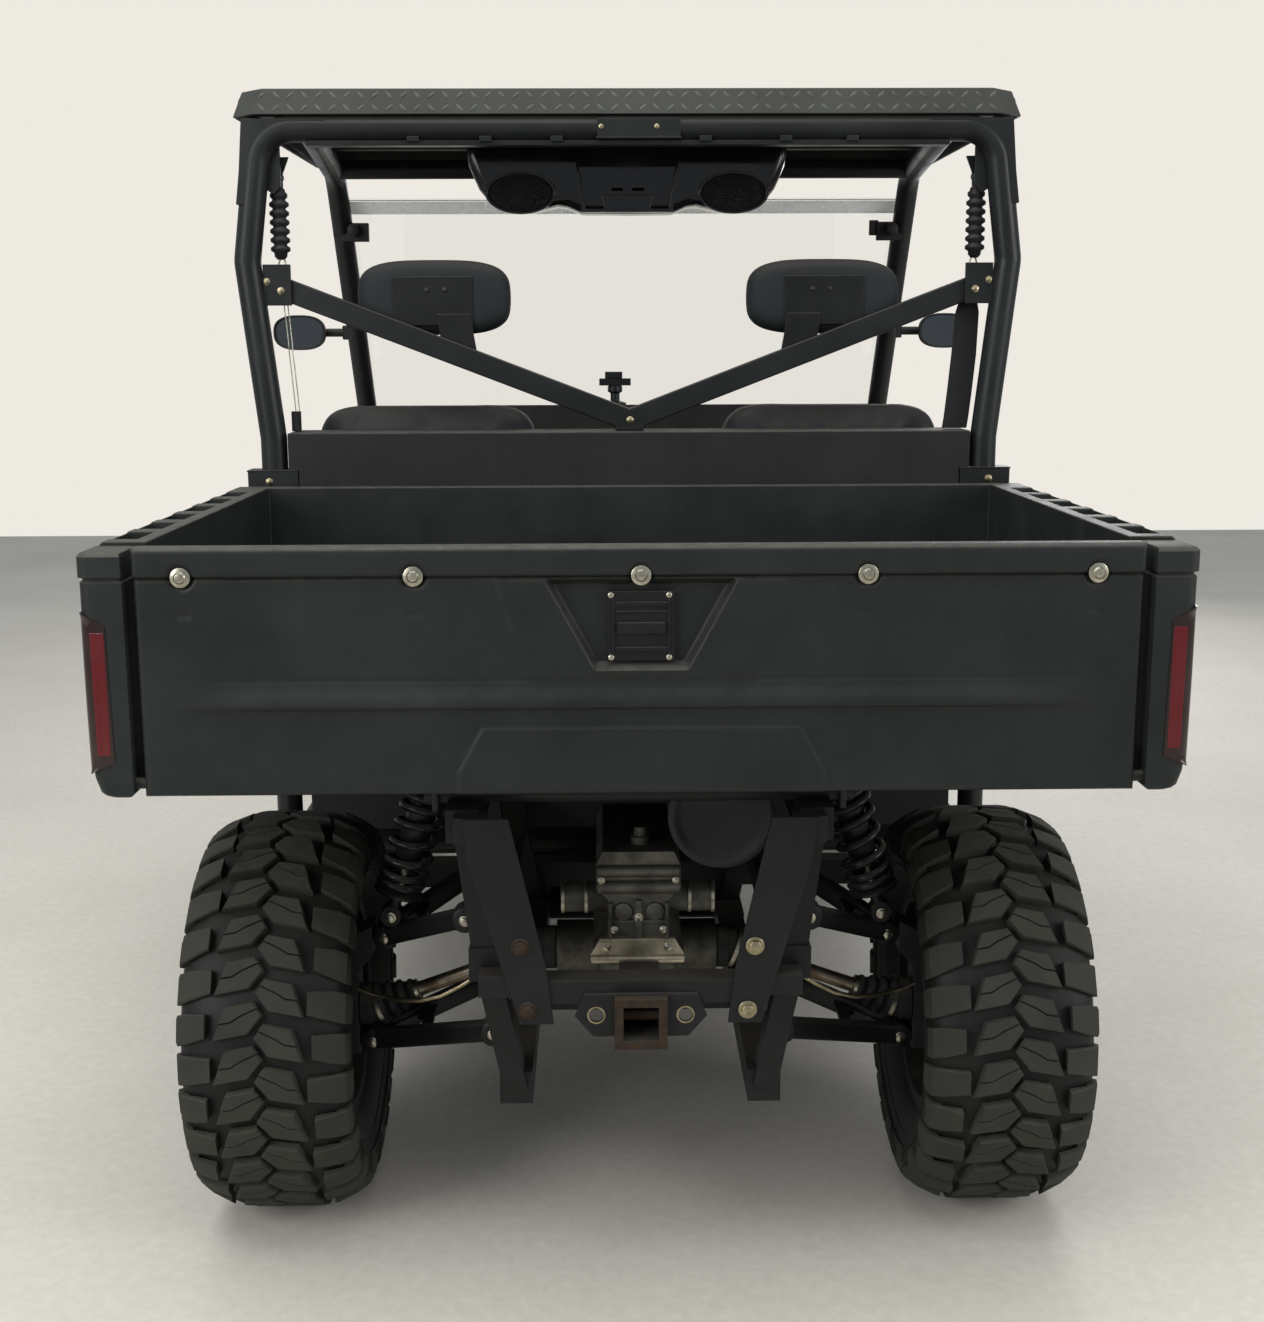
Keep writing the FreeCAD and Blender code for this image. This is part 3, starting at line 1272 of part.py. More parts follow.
def tailgate():
    """Tailgate: top cap, seam, bulge, lower raised panel and the latch's recess."""
    back = tail_y
    front = tail_y + s.gate_wall
    seam = s.gate_seam
    section = [(back + 2, s.bed_top), (back + 2, seam + 3), (back + 6, seam), (back + 6, s.bulge_top),
               (back, s.bulge_low + 10), (back + 5, s.bulge_low - 4), (back + 6, s.bed_low + 14),
               (back + 12, s.bed_low), (front, s.bed_low), (front, s.bed_top)]
    body = slab_x(section, -s.gate_half, s.gate_half)
    low_panel = slab_y([(-212, 927), (212, 927), (244, 868), (244, s.bed_low + 2), (-244, s.bed_low + 2),
                        (-244, 868)], back, back + 14)
    ridges = []
    for side in SIDES:
        ridges.append(slab_y([(side * 199, 1134), (side * 205, 1134), (side * 158, 992), (side * 152, 992)],
                             back + 2, back + 12))
    body = fused([body, low_panel] + ridges)
    recess = slab_y([(-122, seam - 5), (122, seam - 5), (60, 1006), (-60, 1006)], back - 1, back + 20)
    body = body.cut(recess)
    reach = s.gate_half - 30
    for side in SIDES:
        body = body.cut(rod(at(side * reach, gate_pin_y, gate_pin_z), at(side * (s.gate_half + 5), gate_pin_y,
                                                                         gate_pin_z),
                            s.gate_pin_radius + s.clearance_fit))
    return body


add("tailgate", tailgate())


def latch():
    """Latch plate with its pull bar, in the tailgate's recess."""
    half = s.latch_half
    face = tail_y + 20 - s.clearance_fit
    plate = box((-half, face - 5, s.latch_low), (half, face, s.latch_top))
    window = box((-32, face - 6, s.latch_low + 22), (32, face + 1, s.latch_top - 22))
    plate = plate.cut(window)
    bar = box((-34, face - 13, 1060), (34, face - 1, 1074))
    return fused([plate, bar])


add("tailgate_latch", latch())


def steering_wheel():
    """Steering wheel: grip ring, three spokes and a hub."""
    slope = radians(s.column_slope)
    hub = at(-s.driver_side, s.steering_hub_place, s.steering_hub_height)
    toward = at(0, -cos(slope), sin(slope))
    upward = at(0, sin(slope), cos(slope))
    ring = Part.makeTorus(s.wheel_rim_radius, s.wheel_grip_radius, hub, toward)
    boss = rod(hub - toward * 35.7, hub + toward * 12, 44)
    spokes = []
    for angle in (90, 210, 330):
        way = X_AXIS * cos(radians(angle)) - upward * sin(radians(angle))
        spokes.append(flat_bar(hub, hub + way * s.wheel_rim_radius, 12, 34, way.cross(toward)))
    return fused([ring, boss] + spokes)


add("steering_wheel", steering_wheel())

doc.recompute()
bad = [item.Label for item in doc.Objects if "Invalid" in item.State or "Error" in item.State]
for item in parts:
    shape = item.Shape
    if shape.isNull() or not shape.isValid() or shape.Volume <= 0 or not shape.Solids:
        bad.append(item.Label)
if bad:
    raise RuntimeError("failed pieces: " + ", ".join(bad))

os.makedirs("parts", exist_ok=True)
for item in parts:
    item.Shape.exportStep(f"parts/{item.Label}.step")
print(len(parts), "nodes written")
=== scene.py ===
"""Looks of the side by side utility vehicle: finishes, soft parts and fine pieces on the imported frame.

Metres in the vehicle's own frame: +X its right, +Y its front, +Z up, the ground at z = 0.
"""
import logging
import math
from dataclasses import dataclass
from enum import Enum
from typing import Callable, Iterable, Sequence

import bmesh
import bpy
import numpy as np
from mathutils import Matrix, Vector


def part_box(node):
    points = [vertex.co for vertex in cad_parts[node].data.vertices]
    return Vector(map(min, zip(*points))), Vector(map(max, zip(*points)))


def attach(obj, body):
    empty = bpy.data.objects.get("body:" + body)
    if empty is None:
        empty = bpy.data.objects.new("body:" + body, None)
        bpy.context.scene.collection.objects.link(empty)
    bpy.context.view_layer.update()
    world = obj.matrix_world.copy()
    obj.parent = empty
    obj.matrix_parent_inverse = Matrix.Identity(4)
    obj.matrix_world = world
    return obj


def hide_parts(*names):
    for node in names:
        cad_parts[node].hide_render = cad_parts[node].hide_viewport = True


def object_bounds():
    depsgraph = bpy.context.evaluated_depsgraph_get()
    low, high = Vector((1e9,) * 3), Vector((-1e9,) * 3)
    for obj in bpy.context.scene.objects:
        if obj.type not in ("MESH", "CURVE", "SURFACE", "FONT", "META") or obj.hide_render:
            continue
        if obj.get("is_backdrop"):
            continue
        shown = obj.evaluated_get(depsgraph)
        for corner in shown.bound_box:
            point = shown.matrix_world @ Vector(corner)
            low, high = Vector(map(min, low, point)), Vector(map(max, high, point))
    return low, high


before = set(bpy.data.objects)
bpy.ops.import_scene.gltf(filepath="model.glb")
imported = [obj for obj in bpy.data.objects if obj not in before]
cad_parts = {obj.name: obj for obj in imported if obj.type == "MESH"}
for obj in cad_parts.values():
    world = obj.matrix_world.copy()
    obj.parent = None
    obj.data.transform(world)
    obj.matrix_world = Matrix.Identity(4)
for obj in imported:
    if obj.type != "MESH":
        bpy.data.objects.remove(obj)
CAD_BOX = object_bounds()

log = logging.getLogger("utv")
Mesh = bmesh.types.BMesh

MM = 0.001
SIDES = (-1, 1)
IMAGE = (1264, 1322)
X = Vector((1, 0, 0))
Y = Vector((0, 1, 0))
Z = Vector((0, 0, 1))
# A wave texture of scale 1 / (WAVE * width) repeats every two widths
WAVE = 6.28
# Dust specks to the metre
DUST_SCALE = 42.0


# Finishes


def linear(code: str) -> tuple[float, float, float, float]:
    """Turns an sRGB hex colour into the linear one that shaders take.

    Args:
        code: six hex digits.

    Returns:
        Linear red, green, blue and an alpha of one.
    """
    parts = [int(code[i:i + 2], 16) / 255 for i in (0, 2, 4)]
    red, green, blue = (c / 12.92 if c <= 0.04045 else ((c + 0.055) / 1.055) ** 2.4 for c in parts)
    return (red, green, blue, 1.0)


def put(tree: bpy.types.NodeTree, kind: str, inputs: dict | None = None,
        **settings: object) -> bpy.types.Node:
    """Adds one node with its settings, values and links.

    Args:
        tree: the node tree.
        kind: the node's type, without the ShaderNode prefix.
        inputs: value, or output socket to link, for each input by name or number.
        settings: attributes of the node itself.

    Returns:
        The new node.
    """
    made = tree.nodes.new("ShaderNode" + kind)
    for key, value in settings.items():
        setattr(made, key, value)
    for key, value in (inputs or {}).items():
        if isinstance(value, bpy.types.NodeSocket):
            tree.links.new(value, made.inputs[key])
        else:
            made.inputs[key].default_value = value
    return made


def new_material(name: str) -> tuple[bpy.types.Material, bpy.types.NodeTree | None]:
    """Finds a material, or makes an empty one.

    Args:
        name: its name.

    Returns:
        The material, and its empty node tree where it is new.
    """
    made = bpy.data.materials.get(name)
    if made:
        return made, None
    made = bpy.data.materials.new(name)
    made.use_nodes = True
    made.node_tree.nodes.clear()
    return made, made.node_tree


class Grain(Enum):
    """How a surface was textured when it was made."""

    SMOOTH = "smooth"
    SPARK = "spark eroded mould"
    PEEL = "powder coat's orange peel"
    HIDE = "vinyl hide"
    CAST = "sand casting"
    DRAWN = "drawn along its length"
    WOVEN = "woven webbing"


@dataclass(frozen=True)
class Finish:
    """One real material as the eye sees it.

    Attributes:
        name: the material's common name and how it was made.
        colour: sRGB hex of most of the surface.
        shade: sRGB hex that slow blotches drift to.
        roughness: middle roughness.
        metallic: 1 for bare metal.
        blotch_mm: size of the slow blotches.
        grain: how the surface was textured.
        grain_mm: size of one grain.
        grain_depth_mm: depth of the grain.
        dust: sRGB hex of what settles on it.
        dust_amount: how much of it lies on faces that look up.
        coat: clear coat over the colour.
        shine: how strongly a surface that isn't metal mirrors its surroundings; 0.5 is plain plastic.
    """

    name: str
    colour: str
    shade: str
    roughness: float
    metallic: float = 0.0
    blotch_mm: float = 140.0
    grain: Grain = Grain.SPARK
    grain_mm: float = 1.6
    grain_depth_mm: float = 0.06
    dust: str = "7d7669"
    dust_amount: float = 0.3
    coat: float = 0.0
    shine: float = 0.22

    def height(self, tree: bpy.types.NodeTree, spot: bpy.types.NodeSocket) -> bpy.types.NodeSocket:
        """Makes the grain's height.

        Args:
            tree: the material's tree.
            spot: the place on the object, in metres.

        Returns:
            A socket that runs from 0 to 1.
        """
        scale = 1 / (self.grain_mm * MM)
        if self.grain is Grain.HIDE:
            cells = put(tree, "TexVoronoi", {"Vector": spot, "Scale": scale}, feature="DISTANCE_TO_EDGE")
            return put(tree, "Math", {0: cells.outputs["Distance"], 1: 3.0}, operation="MULTIPLY",
                       use_clamp=True).outputs[0]
        if self.grain is Grain.WOVEN:
            rows = [put(tree, "TexWave", {"Vector": spot, "Scale": scale / WAVE, "Distortion": 0.2},
                        bands_direction=way).outputs["Fac"] for way in ("X", "Z")]
            return put(tree, "Math", {0: rows[0], 1: rows[1]}, operation="MULTIPLY").outputs[0]
        if self.grain is Grain.DRAWN:
            stretched = put(tree, "Mapping", {"Vector": spot, "Scale": (1.0, 0.04, 1.0)}).outputs["Vector"]
            return put(tree, "TexNoise", {"Vector": stretched, "Scale": scale, "Detail": 2.0}).outputs["Fac"]
        detail = 4.0 if self.grain is Grain.CAST else 1.5
        return put(tree, "TexNoise", {"Vector": spot, "Scale": scale, "Detail": detail}).outputs["Fac"]

    def material(self) -> bpy.types.Material:
        """Builds the material once and hands out the same one after that.

        Returns:
            The material.
        """
        made, tree = new_material(self.name)
        if tree is None:
            return made
        spot = put(tree, "TexCoord").outputs["Object"]
        slow = put(tree, "TexNoise", {"Vector": spot, "Scale": 1 / (self.blotch_mm * MM), "Detail": 5.0,
                                      "Roughness": 0.6}).outputs["Fac"]
        spread = put(tree, "MapRange", {0: slow, 1: 0.35, 2: 0.68}).outputs[0]
        paint = put(tree, "Mix", {"Factor": spread, 6: linear(self.colour), 7: linear(self.shade)},
                    data_type="RGBA").outputs[2]
        normal = put(tree, "NewGeometry").outputs["Normal"]
        up = put(tree, "SeparateXYZ", {0: normal}).outputs["Z"]
        lying = put(tree, "MapRange", {0: up, 1: 0.25, 2: 0.95, 3: 0.08, 4: 1.0}).outputs[0]
        speck = put(tree, "TexNoise", {"Vector": spot, "Scale": DUST_SCALE, "Detail": 8.0,
                                       "Roughness": 0.7}).outputs["Fac"]
        patch = put(tree, "MapRange", {0: speck, 1: 0.38, 2: 0.66, 3: 0.15, 4: self.dust_amount}).outputs[0]
        settled = put(tree, "Math", {0: lying, 1: patch}, operation="MULTIPLY").outputs[0]
        colour = put(tree, "Mix", {"Factor": settled, 6: paint, 7: linear(self.dust)},
                     data_type="RGBA").outputs[2]
        rough = put(tree, "MapRange", {0: slow, 1: 0.3, 2: 0.7, 3: max(self.roughness - 0.07, 0.03),
                                       4: min(self.roughness + 0.09, 1.0)}).outputs[0]
        duller = put(tree, "Mix", {"Factor": settled, 2: rough, 3: 0.85}).outputs[0]
        shader = put(tree, "BsdfPrincipled", {"Base Color": colour, "Roughness": duller,
                                              "Metallic": self.metallic, "Coat Weight": self.coat,
                                              "Specular IOR Level": self.shine})
        if self.grain is not Grain.SMOOTH:
            bump = put(tree, "Bump", {"Height": self.height(tree, spot),
                                      "Distance": self.grain_depth_mm * MM})
            tree.links.new(bump.outputs[0], shader.inputs["Normal"])
        put(tree, "OutputMaterial", {"Surface": shader.outputs[0]})
        return made


@dataclass(frozen=True)
class ClearFinish:
    """A see-through moulding: the light passes tinted, and scuffs dull it.

    Attributes:
        name: the material's common name and how it was made.
        colour: sRGB hex of the tint.
        roughness: roughness of the surface.
        transmission: how much light passes.
        fluting_mm: width of the flutes moulded behind the lens, or 0 for none.
        scuff: how much rougher it gets where it is scuffed.
    """

    name: str
    colour: str
    roughness: float
    transmission: float
    fluting_mm: float = 0.0
    scuff: float = 0.15

    def material(self) -> bpy.types.Material:
        """Builds the material once and hands out the same one after that.

        Returns:
            The material.
        """
        made, tree = new_material(self.name)
        if tree is None:
            return made
        spot = put(tree, "TexCoord").outputs["Object"]
        scuff = put(tree, "TexNoise", {"Vector": spot, "Scale": 25.0, "Detail": 6.0}).outputs["Fac"]
        rough = put(tree, "MapRange", {0: scuff, 1: 0.4, 2: 0.75, 3: self.roughness,
                                       4: self.roughness + self.scuff}).outputs[0]
        shader = put(tree, "BsdfPrincipled", {"Base Color": linear(self.colour), "Roughness": rough,
                                              "Transmission Weight": self.transmission, "IOR": 1.49})
        if self.fluting_mm:
            flutes = put(tree, "TexWave", {"Vector": spot, "Scale": 1 / (self.fluting_mm * MM * WAVE)},
                         bands_direction="X").outputs["Fac"]
            bump = put(tree, "Bump", {"Height": flutes, "Distance": 0.4 * MM})
            tree.links.new(bump.outputs[0], shader.inputs["Normal"])
        put(tree, "OutputMaterial", {"Surface": shader.outputs[0]})
        return made


# Moulded polypropylene: an even fine mould grain that turns grey where it looks up to the light
BED_PLASTIC = Finish("polypropylene_spark_grained", "141918", "1b201f", 0.46, grain_mm=1.3,
                     grain_depth_mm=0.07)
# Moulded thermoplastic olefin of the body: satin, with a softer shine than the bed
BODY_PLASTIC = Finish("olefin_moulded_satin", "17191a", "1e2122", 0.33, grain_mm=1.0, grain_depth_mm=0.03,
                      dust_amount=0.2)
# Textured interior plastic: dull, coarser grain, dusty where hands don't reach
TRIM_PLASTIC = Finish("polypropylene_trim_grained", "141516", "1b1c1d", 0.6, grain_mm=2.0,
                      grain_depth_mm=0.12)
# Powder coated steel: satin black with a faint orange peel that breaks up the highlights
FRAME_COAT = Finish("steel_powder_coated", "0c0e10", "121416", 0.4, grain=Grain.PEEL, grain_mm=3.0,
                    grain_depth_mm=0.05, dust_amount=0.2)
# The cage's coat: smoother and cleaner than the frame's
CAGE_COAT = Finish("steel_tube_powder_coated", "121516", "191c1d", 0.36, grain=Grain.PEEL, grain_mm=3.0,
                   grain_depth_mm=0.04, dust_amount=0.2)
# Coated tread plate: warm dark grey, its lozenges a little lighter
TREAD_PLATE = Finish("aluminium_tread_plate_coated", "282a27", "333531", 0.5, grain=Grain.PEEL,
                     grain_mm=2.5, grain_depth_mm=0.05, dust="6e6b62", dust_amount=0.3)
# The lozenges: a paler, slightly metallic copy of the plate's finish
TREAD_LOZENGE = Finish("aluminium_tread_lozenge", "383b38", "464945", 0.4, metallic=0.3, grain=Grain.PEEL,
                      grain_mm=2.5, grain_depth_mm=0.05, dust="8a8577", dust_amount=0.35)
# Sand cast aluminium: pale warm grey that drifts to brown where it is stained
CAST_ALUMINIUM = Finish("aluminium_sand_cast", "c4bba6", "867d69", 0.4, metallic=0.85, blotch_mm=38.0,
                        grain=Grain.CAST, grain_mm=2.2, grain_depth_mm=0.25, dust="6e6554", dust_amount=0.3)
# The same casting in a darker, duller grey brown, still a little metallic
CAST_DARK = Finish("aluminium_sand_cast_dark", "64625a", "3b3933", 0.5, metallic=0.7, blotch_mm=45.0,
                   grain=Grain.CAST, grain_mm=2.2, grain_depth_mm=0.25, dust="4a453b", dust_amount=0.4)
# Grey iron casting under paint: rough skin, almost no shine
CAST_IRON = Finish("iron_cast_painted", "17181a", "232425", 0.55, grain=Grain.CAST, grain_mm=2.5,
                   grain_depth_mm=0.3, dust_amount=0.5)
# Stove enamelled steel of the muffler: flat charcoal
MUFFLER_COAT = Finish("steel_heat_enamelled", "1f2122", "292b2c", 0.6, grain=Grain.PEEL, grain_mm=1.8,
                      grain_depth_mm=0.05, dust_amount=0.3)
# Drawn steel that has taken a film of light rust and oil
DRAWN_STEEL = Finish("steel_drawn_bare", "8d8574", "5d4a35", 0.35, metallic=0.9, blotch_mm=30.0,
                     grain=Grain.DRAWN, grain_mm=1.0, grain_depth_mm=0.04, dust_amount=0.4)
# Zinc plated fasteners: bright, slightly yellow passivation
ZINC = Finish("steel_zinc_plated", "b9b5a4", "8f8b7c", 0.3, metallic=1.0, blotch_mm=12.0, grain=Grain.PEEL,
              grain_mm=1.0, grain_depth_mm=0.02, dust_amount=0.25)
# Black oxide fasteners: dark with a dull metal sheen
BLACK_BOLT = Finish("steel_black_oxide", "26282a", "303234", 0.36, metallic=0.6, blotch_mm=12.0,
                    grain=Grain.PEEL, grain_mm=1.0, grain_depth_mm=0.02)
# Gloss ABS of the pod: deep black with clean reflections
GLOSS_ABS = Finish("abs_moulded_gloss", "08090b", "0d0e11", 0.12, grain=Grain.SMOOTH, shine=0.4,
                   dust_amount=0.1)
# Worn tread rubber: the blocks' faces have gone brown grey with dust
TREAD_RUBBER = Finish("rubber_tread_worn", "292a26", "33342d", 0.78, blotch_mm=60.0, grain=Grain.CAST,
                      grain_mm=1.6, grain_depth_mm=0.12, dust="545347", dust_amount=0.4)
# The tyre's carcass and voids: blacker than the worn faces, faintly shiny on the sidewall
SIDEWALL_RUBBER = Finish("rubber_sidewall_moulded", "0e0f0f", "161615", 0.5, grain_mm=1.8,
                         grain_depth_mm=0.08, dust="45423a", dust_amount=0.3)
# Soft black rubber of boots and grips
BOOT_RUBBER = Finish("rubber_boot_moulded", "15161a", "1d1e21", 0.48, grain_mm=1.4, grain_depth_mm=0.05)
# Seat vinyl: fine hide grain with a low sheen
SEAT_VINYL = Finish("vinyl_hide_grained", "18191b", "202124", 0.48, grain=Grain.HIDE, grain_mm=2.4,
                    grain_depth_mm=0.16, dust_amount=0.22)
# Integral skin foam of the headrests: dull, velvety, no seams
FOAM_SKIN = Finish("polyurethane_integral_skin", "161a1c", "1d2224", 0.66, grain_mm=1.8, grain_depth_mm=0.12,
                   dust_amount=0.18)
# Woven polyester webbing: ribbed, dull black
WEBBING = Finish("polyester_webbing_woven", "161718", "212223", 0.8, grain=Grain.WOVEN, grain_mm=2.6,
                 grain_depth_mm=0.4, dust_amount=0.3)
# Gloss black spring coat
SPRING_COAT = Finish("steel_spring_coated", "101114", "16171b", 0.24, grain=Grain.PEEL, grain_mm=2.5,
                     grain_depth_mm=0.03, dust_amount=0.3)
# Wheel paint: satin black, thin
WHEEL_PAINT = Finish("aluminium_wheel_painted", "14161a", "1b1d21", 0.34, metallic=0.3, grain=Grain.PEEL,
                     grain_mm=2.0, grain_depth_mm=0.03, dust_amount=0.3)
# Silvered glass of the mirrors, its colour darkened to a grey that paints in the dim reflection and shade that
# the glass shows
MIRROR_GLASS_PAINTED_SHADE = Finish("glass_silvered_painted_shade", "5a5e62", "54585c", 0.05, metallic=1.0, grain=Grain.SMOOTH,
                      dust_amount=0.05)
# Rust on bare steel: brown, dull, uneven
RUSTED_STEEL = Finish("steel_rusted", "251d17", "3a2c20", 0.75, metallic=0.2, blotch_mm=14.0,
                      grain=Grain.CAST, grain_mm=1.5, grain_depth_mm=0.15, dust_amount=0.2)
# Zinc with yellow passivation: bright, golden where it is thick
ZINC_YELLOW = Finish("steel_zinc_yellow_passivated", "a39a80", "7d7255", 0.36, metallic=1.0, blotch_mm=10.0,
                     grain=Grain.PEEL, grain_mm=1.0, grain_depth_mm=0.02, dust_amount=0.25)
# Punched steel mesh of the speakers, drawn a little coarse so that it shows
SPEAKER_MESH = Finish("steel_mesh_punched", "0b0b0c", "131315", 0.45, metallic=0.3, grain=Grain.HIDE,
                      grain_mm=3.0, grain_depth_mm=0.9, dust_amount=0.1)
# Red tail lamp lens: saturated, deep, with upright flutes
LENS_RED = ClearFinish("acrylic_lens_red", "5c0f15", 0.16, 0.15, fluting_mm=6.0)
# Smoked lamp housing: nearly black, glossy, with a warm edge
LENS_SMOKED = ClearFinish("acrylic_lens_smoked", "2a1a19", 0.14, 0.2)
# Headlamp lens and windshield: clear polycarbonate with fine scuffs
CLEAR_SHEET = ClearFinish("polycarbonate_sheet_clear", "fdfefe", 0.0, 1.0, scuff=0.02)
# The screen's stiff top edge: milky where light runs along inside it
CLEAR_EDGE = ClearFinish("polycarbonate_edge_frosted", "e9ecec", 0.25, 0.55)
# The studio's floor: sealed concrete, pale and even
CONCRETE = Finish("concrete_sealed", "cfcac0", "c6c1b7", 0.6, blotch_mm=900.0, grain_mm=4.0,
                  grain_depth_mm=0.05, dust_amount=0.0)


# Mesh making

# Profile of a small pan head screw, as distance and radius
PAN_HEAD = ((-0.001, 0.005), (0.002, 0.0045), (0.003, 0.002))


def hand(side: int) -> str:
    """The word for a side, as the pieces' names have it."""
    return "left" if side < 0 else "right"


def ring_strip(bm: Mesh, rings: Sequence[Sequence[Vector]], closed: bool = True,
               caps: bool = True) -> None:
    """Joins rings of equally many points with quads.

    Args:
        bm: the mesh.
        rings: the rings, from one end to the other.
        closed: whether each ring's last point joins its first.
        caps: whether the two end rings get a face.
    """
    rows = [[bm.verts.new(p) for p in ring] for ring in rings]
    count = len(rows[0])
    last = count if closed else count - 1
    for low, high in zip(rows, rows[1:]):
        for i in range(last):
            j = (i + 1) % count
            bm.faces.new((low[i], low[j], high[j], high[i]))
    if caps:
        bm.faces.new(list(reversed(rows[0])))
        bm.faces.new(rows[-1])


def circle(centre: Vector, axis: Vector, radius: float, sides: int, squash: float = 1.0) -> list[Vector]:
    """Points round a circle.

    Args:
        centre: its middle.
        axis: the direction that it faces.
        radius: its radius.
        sides: how many points.
        squash: second radius as a share of the first.

    Returns:
        The points, in order.
    """
    axis = axis.normalized()
    helper = Z if abs(axis.z) < 0.9 else X
    across = axis.cross(helper).normalized()
    over = axis.cross(across)
    steps = (2 * math.pi * i / sides for i in range(sides))
    return [centre + across * radius * math.cos(a) + over * radius * squash * math.sin(a) for a in steps]


def turned(bm: Mesh, start: Vector, axis: Vector, profile: Iterable[tuple[float, float]],
           sides: int = 24) -> None:
    """A turned piece: rings of the profile's radii along an axis.

    Args:
        bm: the mesh.
        start: where the profile's distance is zero.
        axis: the direction of the axis.
        profile: pairs of distance along the axis and radius.
        sides: points round each ring.
    """
    way = axis.normalized()
    ring_strip(bm, [circle(start + way * along, way, radius, sides) for along, radius in profile])


def tube(bm: Mesh, path: Sequence[Vector], radius: float, sides: int = 12,
         flat: float = 1.0) -> None:
    """A tube along a path, with a frame that doesn't twist.

    Args:
        bm: the mesh.
        path: the points of its middle line.
        radius: half its width.
        sides: points round the section.
        flat: thickness as a share of the width.
    """
    rings = []
    across = None
    for i, point in enumerate(path):
        ahead = (path[min(i + 1, len(path) - 1)] - path[max(i - 1, 0)]).normalized()
        if across is None:
            helper = Z if abs(ahead.z) < 0.9 else X
            across = ahead.cross(helper).normalized()
        else:
            across = (across - ahead * across.dot(ahead)).normalized()
        over = ahead.cross(across)
        rings.append([point + across * radius * math.cos(a) + over * radius * flat * math.sin(a)
                      for a in (2 * math.pi * k / sides for k in range(sides))])
    ring_strip(bm, rings)


def prism(bm: Mesh, outline: Sequence[Vector], depth: Vector) -> None:
    """An outline made thick.

    Args:
        bm: the mesh.
        outline: the corners, in order.
        depth: the way and distance it is made thick.
    """
    ring_strip(bm, [list(outline), [p + depth for p in outline]])


def block(bm: Mesh, low: Sequence[float], high: Sequence[float]) -> None:
    """A block between two opposite corners.

    Args:
        bm: the mesh.
        low: the lowest corner.
        high: the highest corner.
    """
    x0, y0, z0 = low
    x1, y1, z1 = high
    prism(bm, [Vector((x0, y0, z0)), Vector((x1, y0, z0)), Vector((x1, y1, z0)), Vector((x0, y1, z0))],
          Z * (z1 - z0))


def upright(outline: Iterable[tuple[float, float]], y: float, side: int = 1) -> list[Vector]:
    """Places an outline given as x and z in an upright plane, mirrored where side is -1."""
    return [Vector((side * x, y, z)) for x, z in outline]


def bushing(bm: Mesh, centre: Vector, axis: Vector, half: float, radius: float, draw: float,
            chamfer: float = 2 * MM, sides: int = 28) -> None:
    """A round sleeve whose two ends are drawn in.

    Args:
        bm: the mesh.
        centre: its middle.
        axis: the direction of its axis.
        half: half its length.
        radius: its radius.
        draw: how much smaller the ends are.
        chamfer: how far along an end is drawn in.
        sides: points round it.
    """
    end = 2 * half
    profile = [(0, radius - draw), (chamfer, radius), (end - chamfer, radius), (end, radius - draw)]
    turned(bm, centre - axis * half, axis, profile, sides)


def rounded(angle: float, power: float) -> tuple[float, float]:
    """A point of a rounded square of half size one: power 2 is a circle, more is squarer."""
    c, s = math.cos(angle), math.sin(angle)
    return math.copysign(abs(c) ** (2 / power), c), math.copysign(abs(s) ** (2 / power), s)


def beam(bm: Mesh, path: Sequence[Vector], wide: float, tall: float, square: float = 5.0,
         sides: int = 20) -> None:
    """A box section with rounded corners along a path that lies mostly level.

    Args:
        bm: the mesh.
        path: the points of its middle line.
        wide: its width, level.
        tall: its height.
        square: how square the section is; 2 gives an oval.
        sides: points round the section.
    """
    rings = []
    for i, point in enumerate(path):
        ahead = (path[min(i + 1, len(path) - 1)] - path[max(i - 1, 0)]).normalized()
        across = ahead.cross(Z if abs(ahead.z) < 0.9 else Y).normalized()
        over = ahead.cross(across)
        turns = (rounded(2 * math.pi * (k + 0.5) / sides, square) for k in range(sides))
        rings.append([point + across * (wide / 2 * a) + over * (tall / 2 * b) for a, b in turns])
    ring_strip(bm, rings)


def pierced(bm: Mesh, outer: Sequence[Vector], hole: Sequence[Vector], depth: Vector) -> None:
    """A plate with one hole, both outlines with equally many points.

    Args:
        bm: the mesh.
        outer: the plate's outline.
        hole: the hole's outline.
        depth: the way and distance it is made thick.
    """
    count = len(outer)
    loops = [[bm.verts.new(p) for p in loop] for loop in
             (outer, [p + depth for p in outer], [p + depth for p in hole], hole)]
    for row, after in ((0, 1), (1, 2), (2, 3), (3, 0)):
        for i in range(count):
            j = (i + 1) % count
            bm.faces.new((loops[row][i], loops[row][j], loops[after][j], loops[after][i]))


def helix(start: Vector, along: Vector, length: float, radius: float, turns: float) -> list[Vector]:
    """The middle line of a coil spring with turns twice as close at both ends.

    Args:
        start: where the spring begins, on its axis.
        along: the axis.
        length: from first to last turn.
        radius: of the coil's middle line.
        turns: how many.

    Returns:
        The points of the wire's middle line.
    """
    way = along.normalized()
    across = way.orthogonal().normalized()
    over = way.cross(across)
    steps = round(turns * 22)
    points = []
    for i in range(steps + 1):
        share = i / steps
        down = share - 0.5 * math.sin(2 * math.pi * share) / (2 * math.pi)
        angle = 2 * math.pi * turns * share
        outward = across * math.cos(angle) + over * math.sin(angle)
        points.append(start + way * (length * down) + outward * radius)
    return points


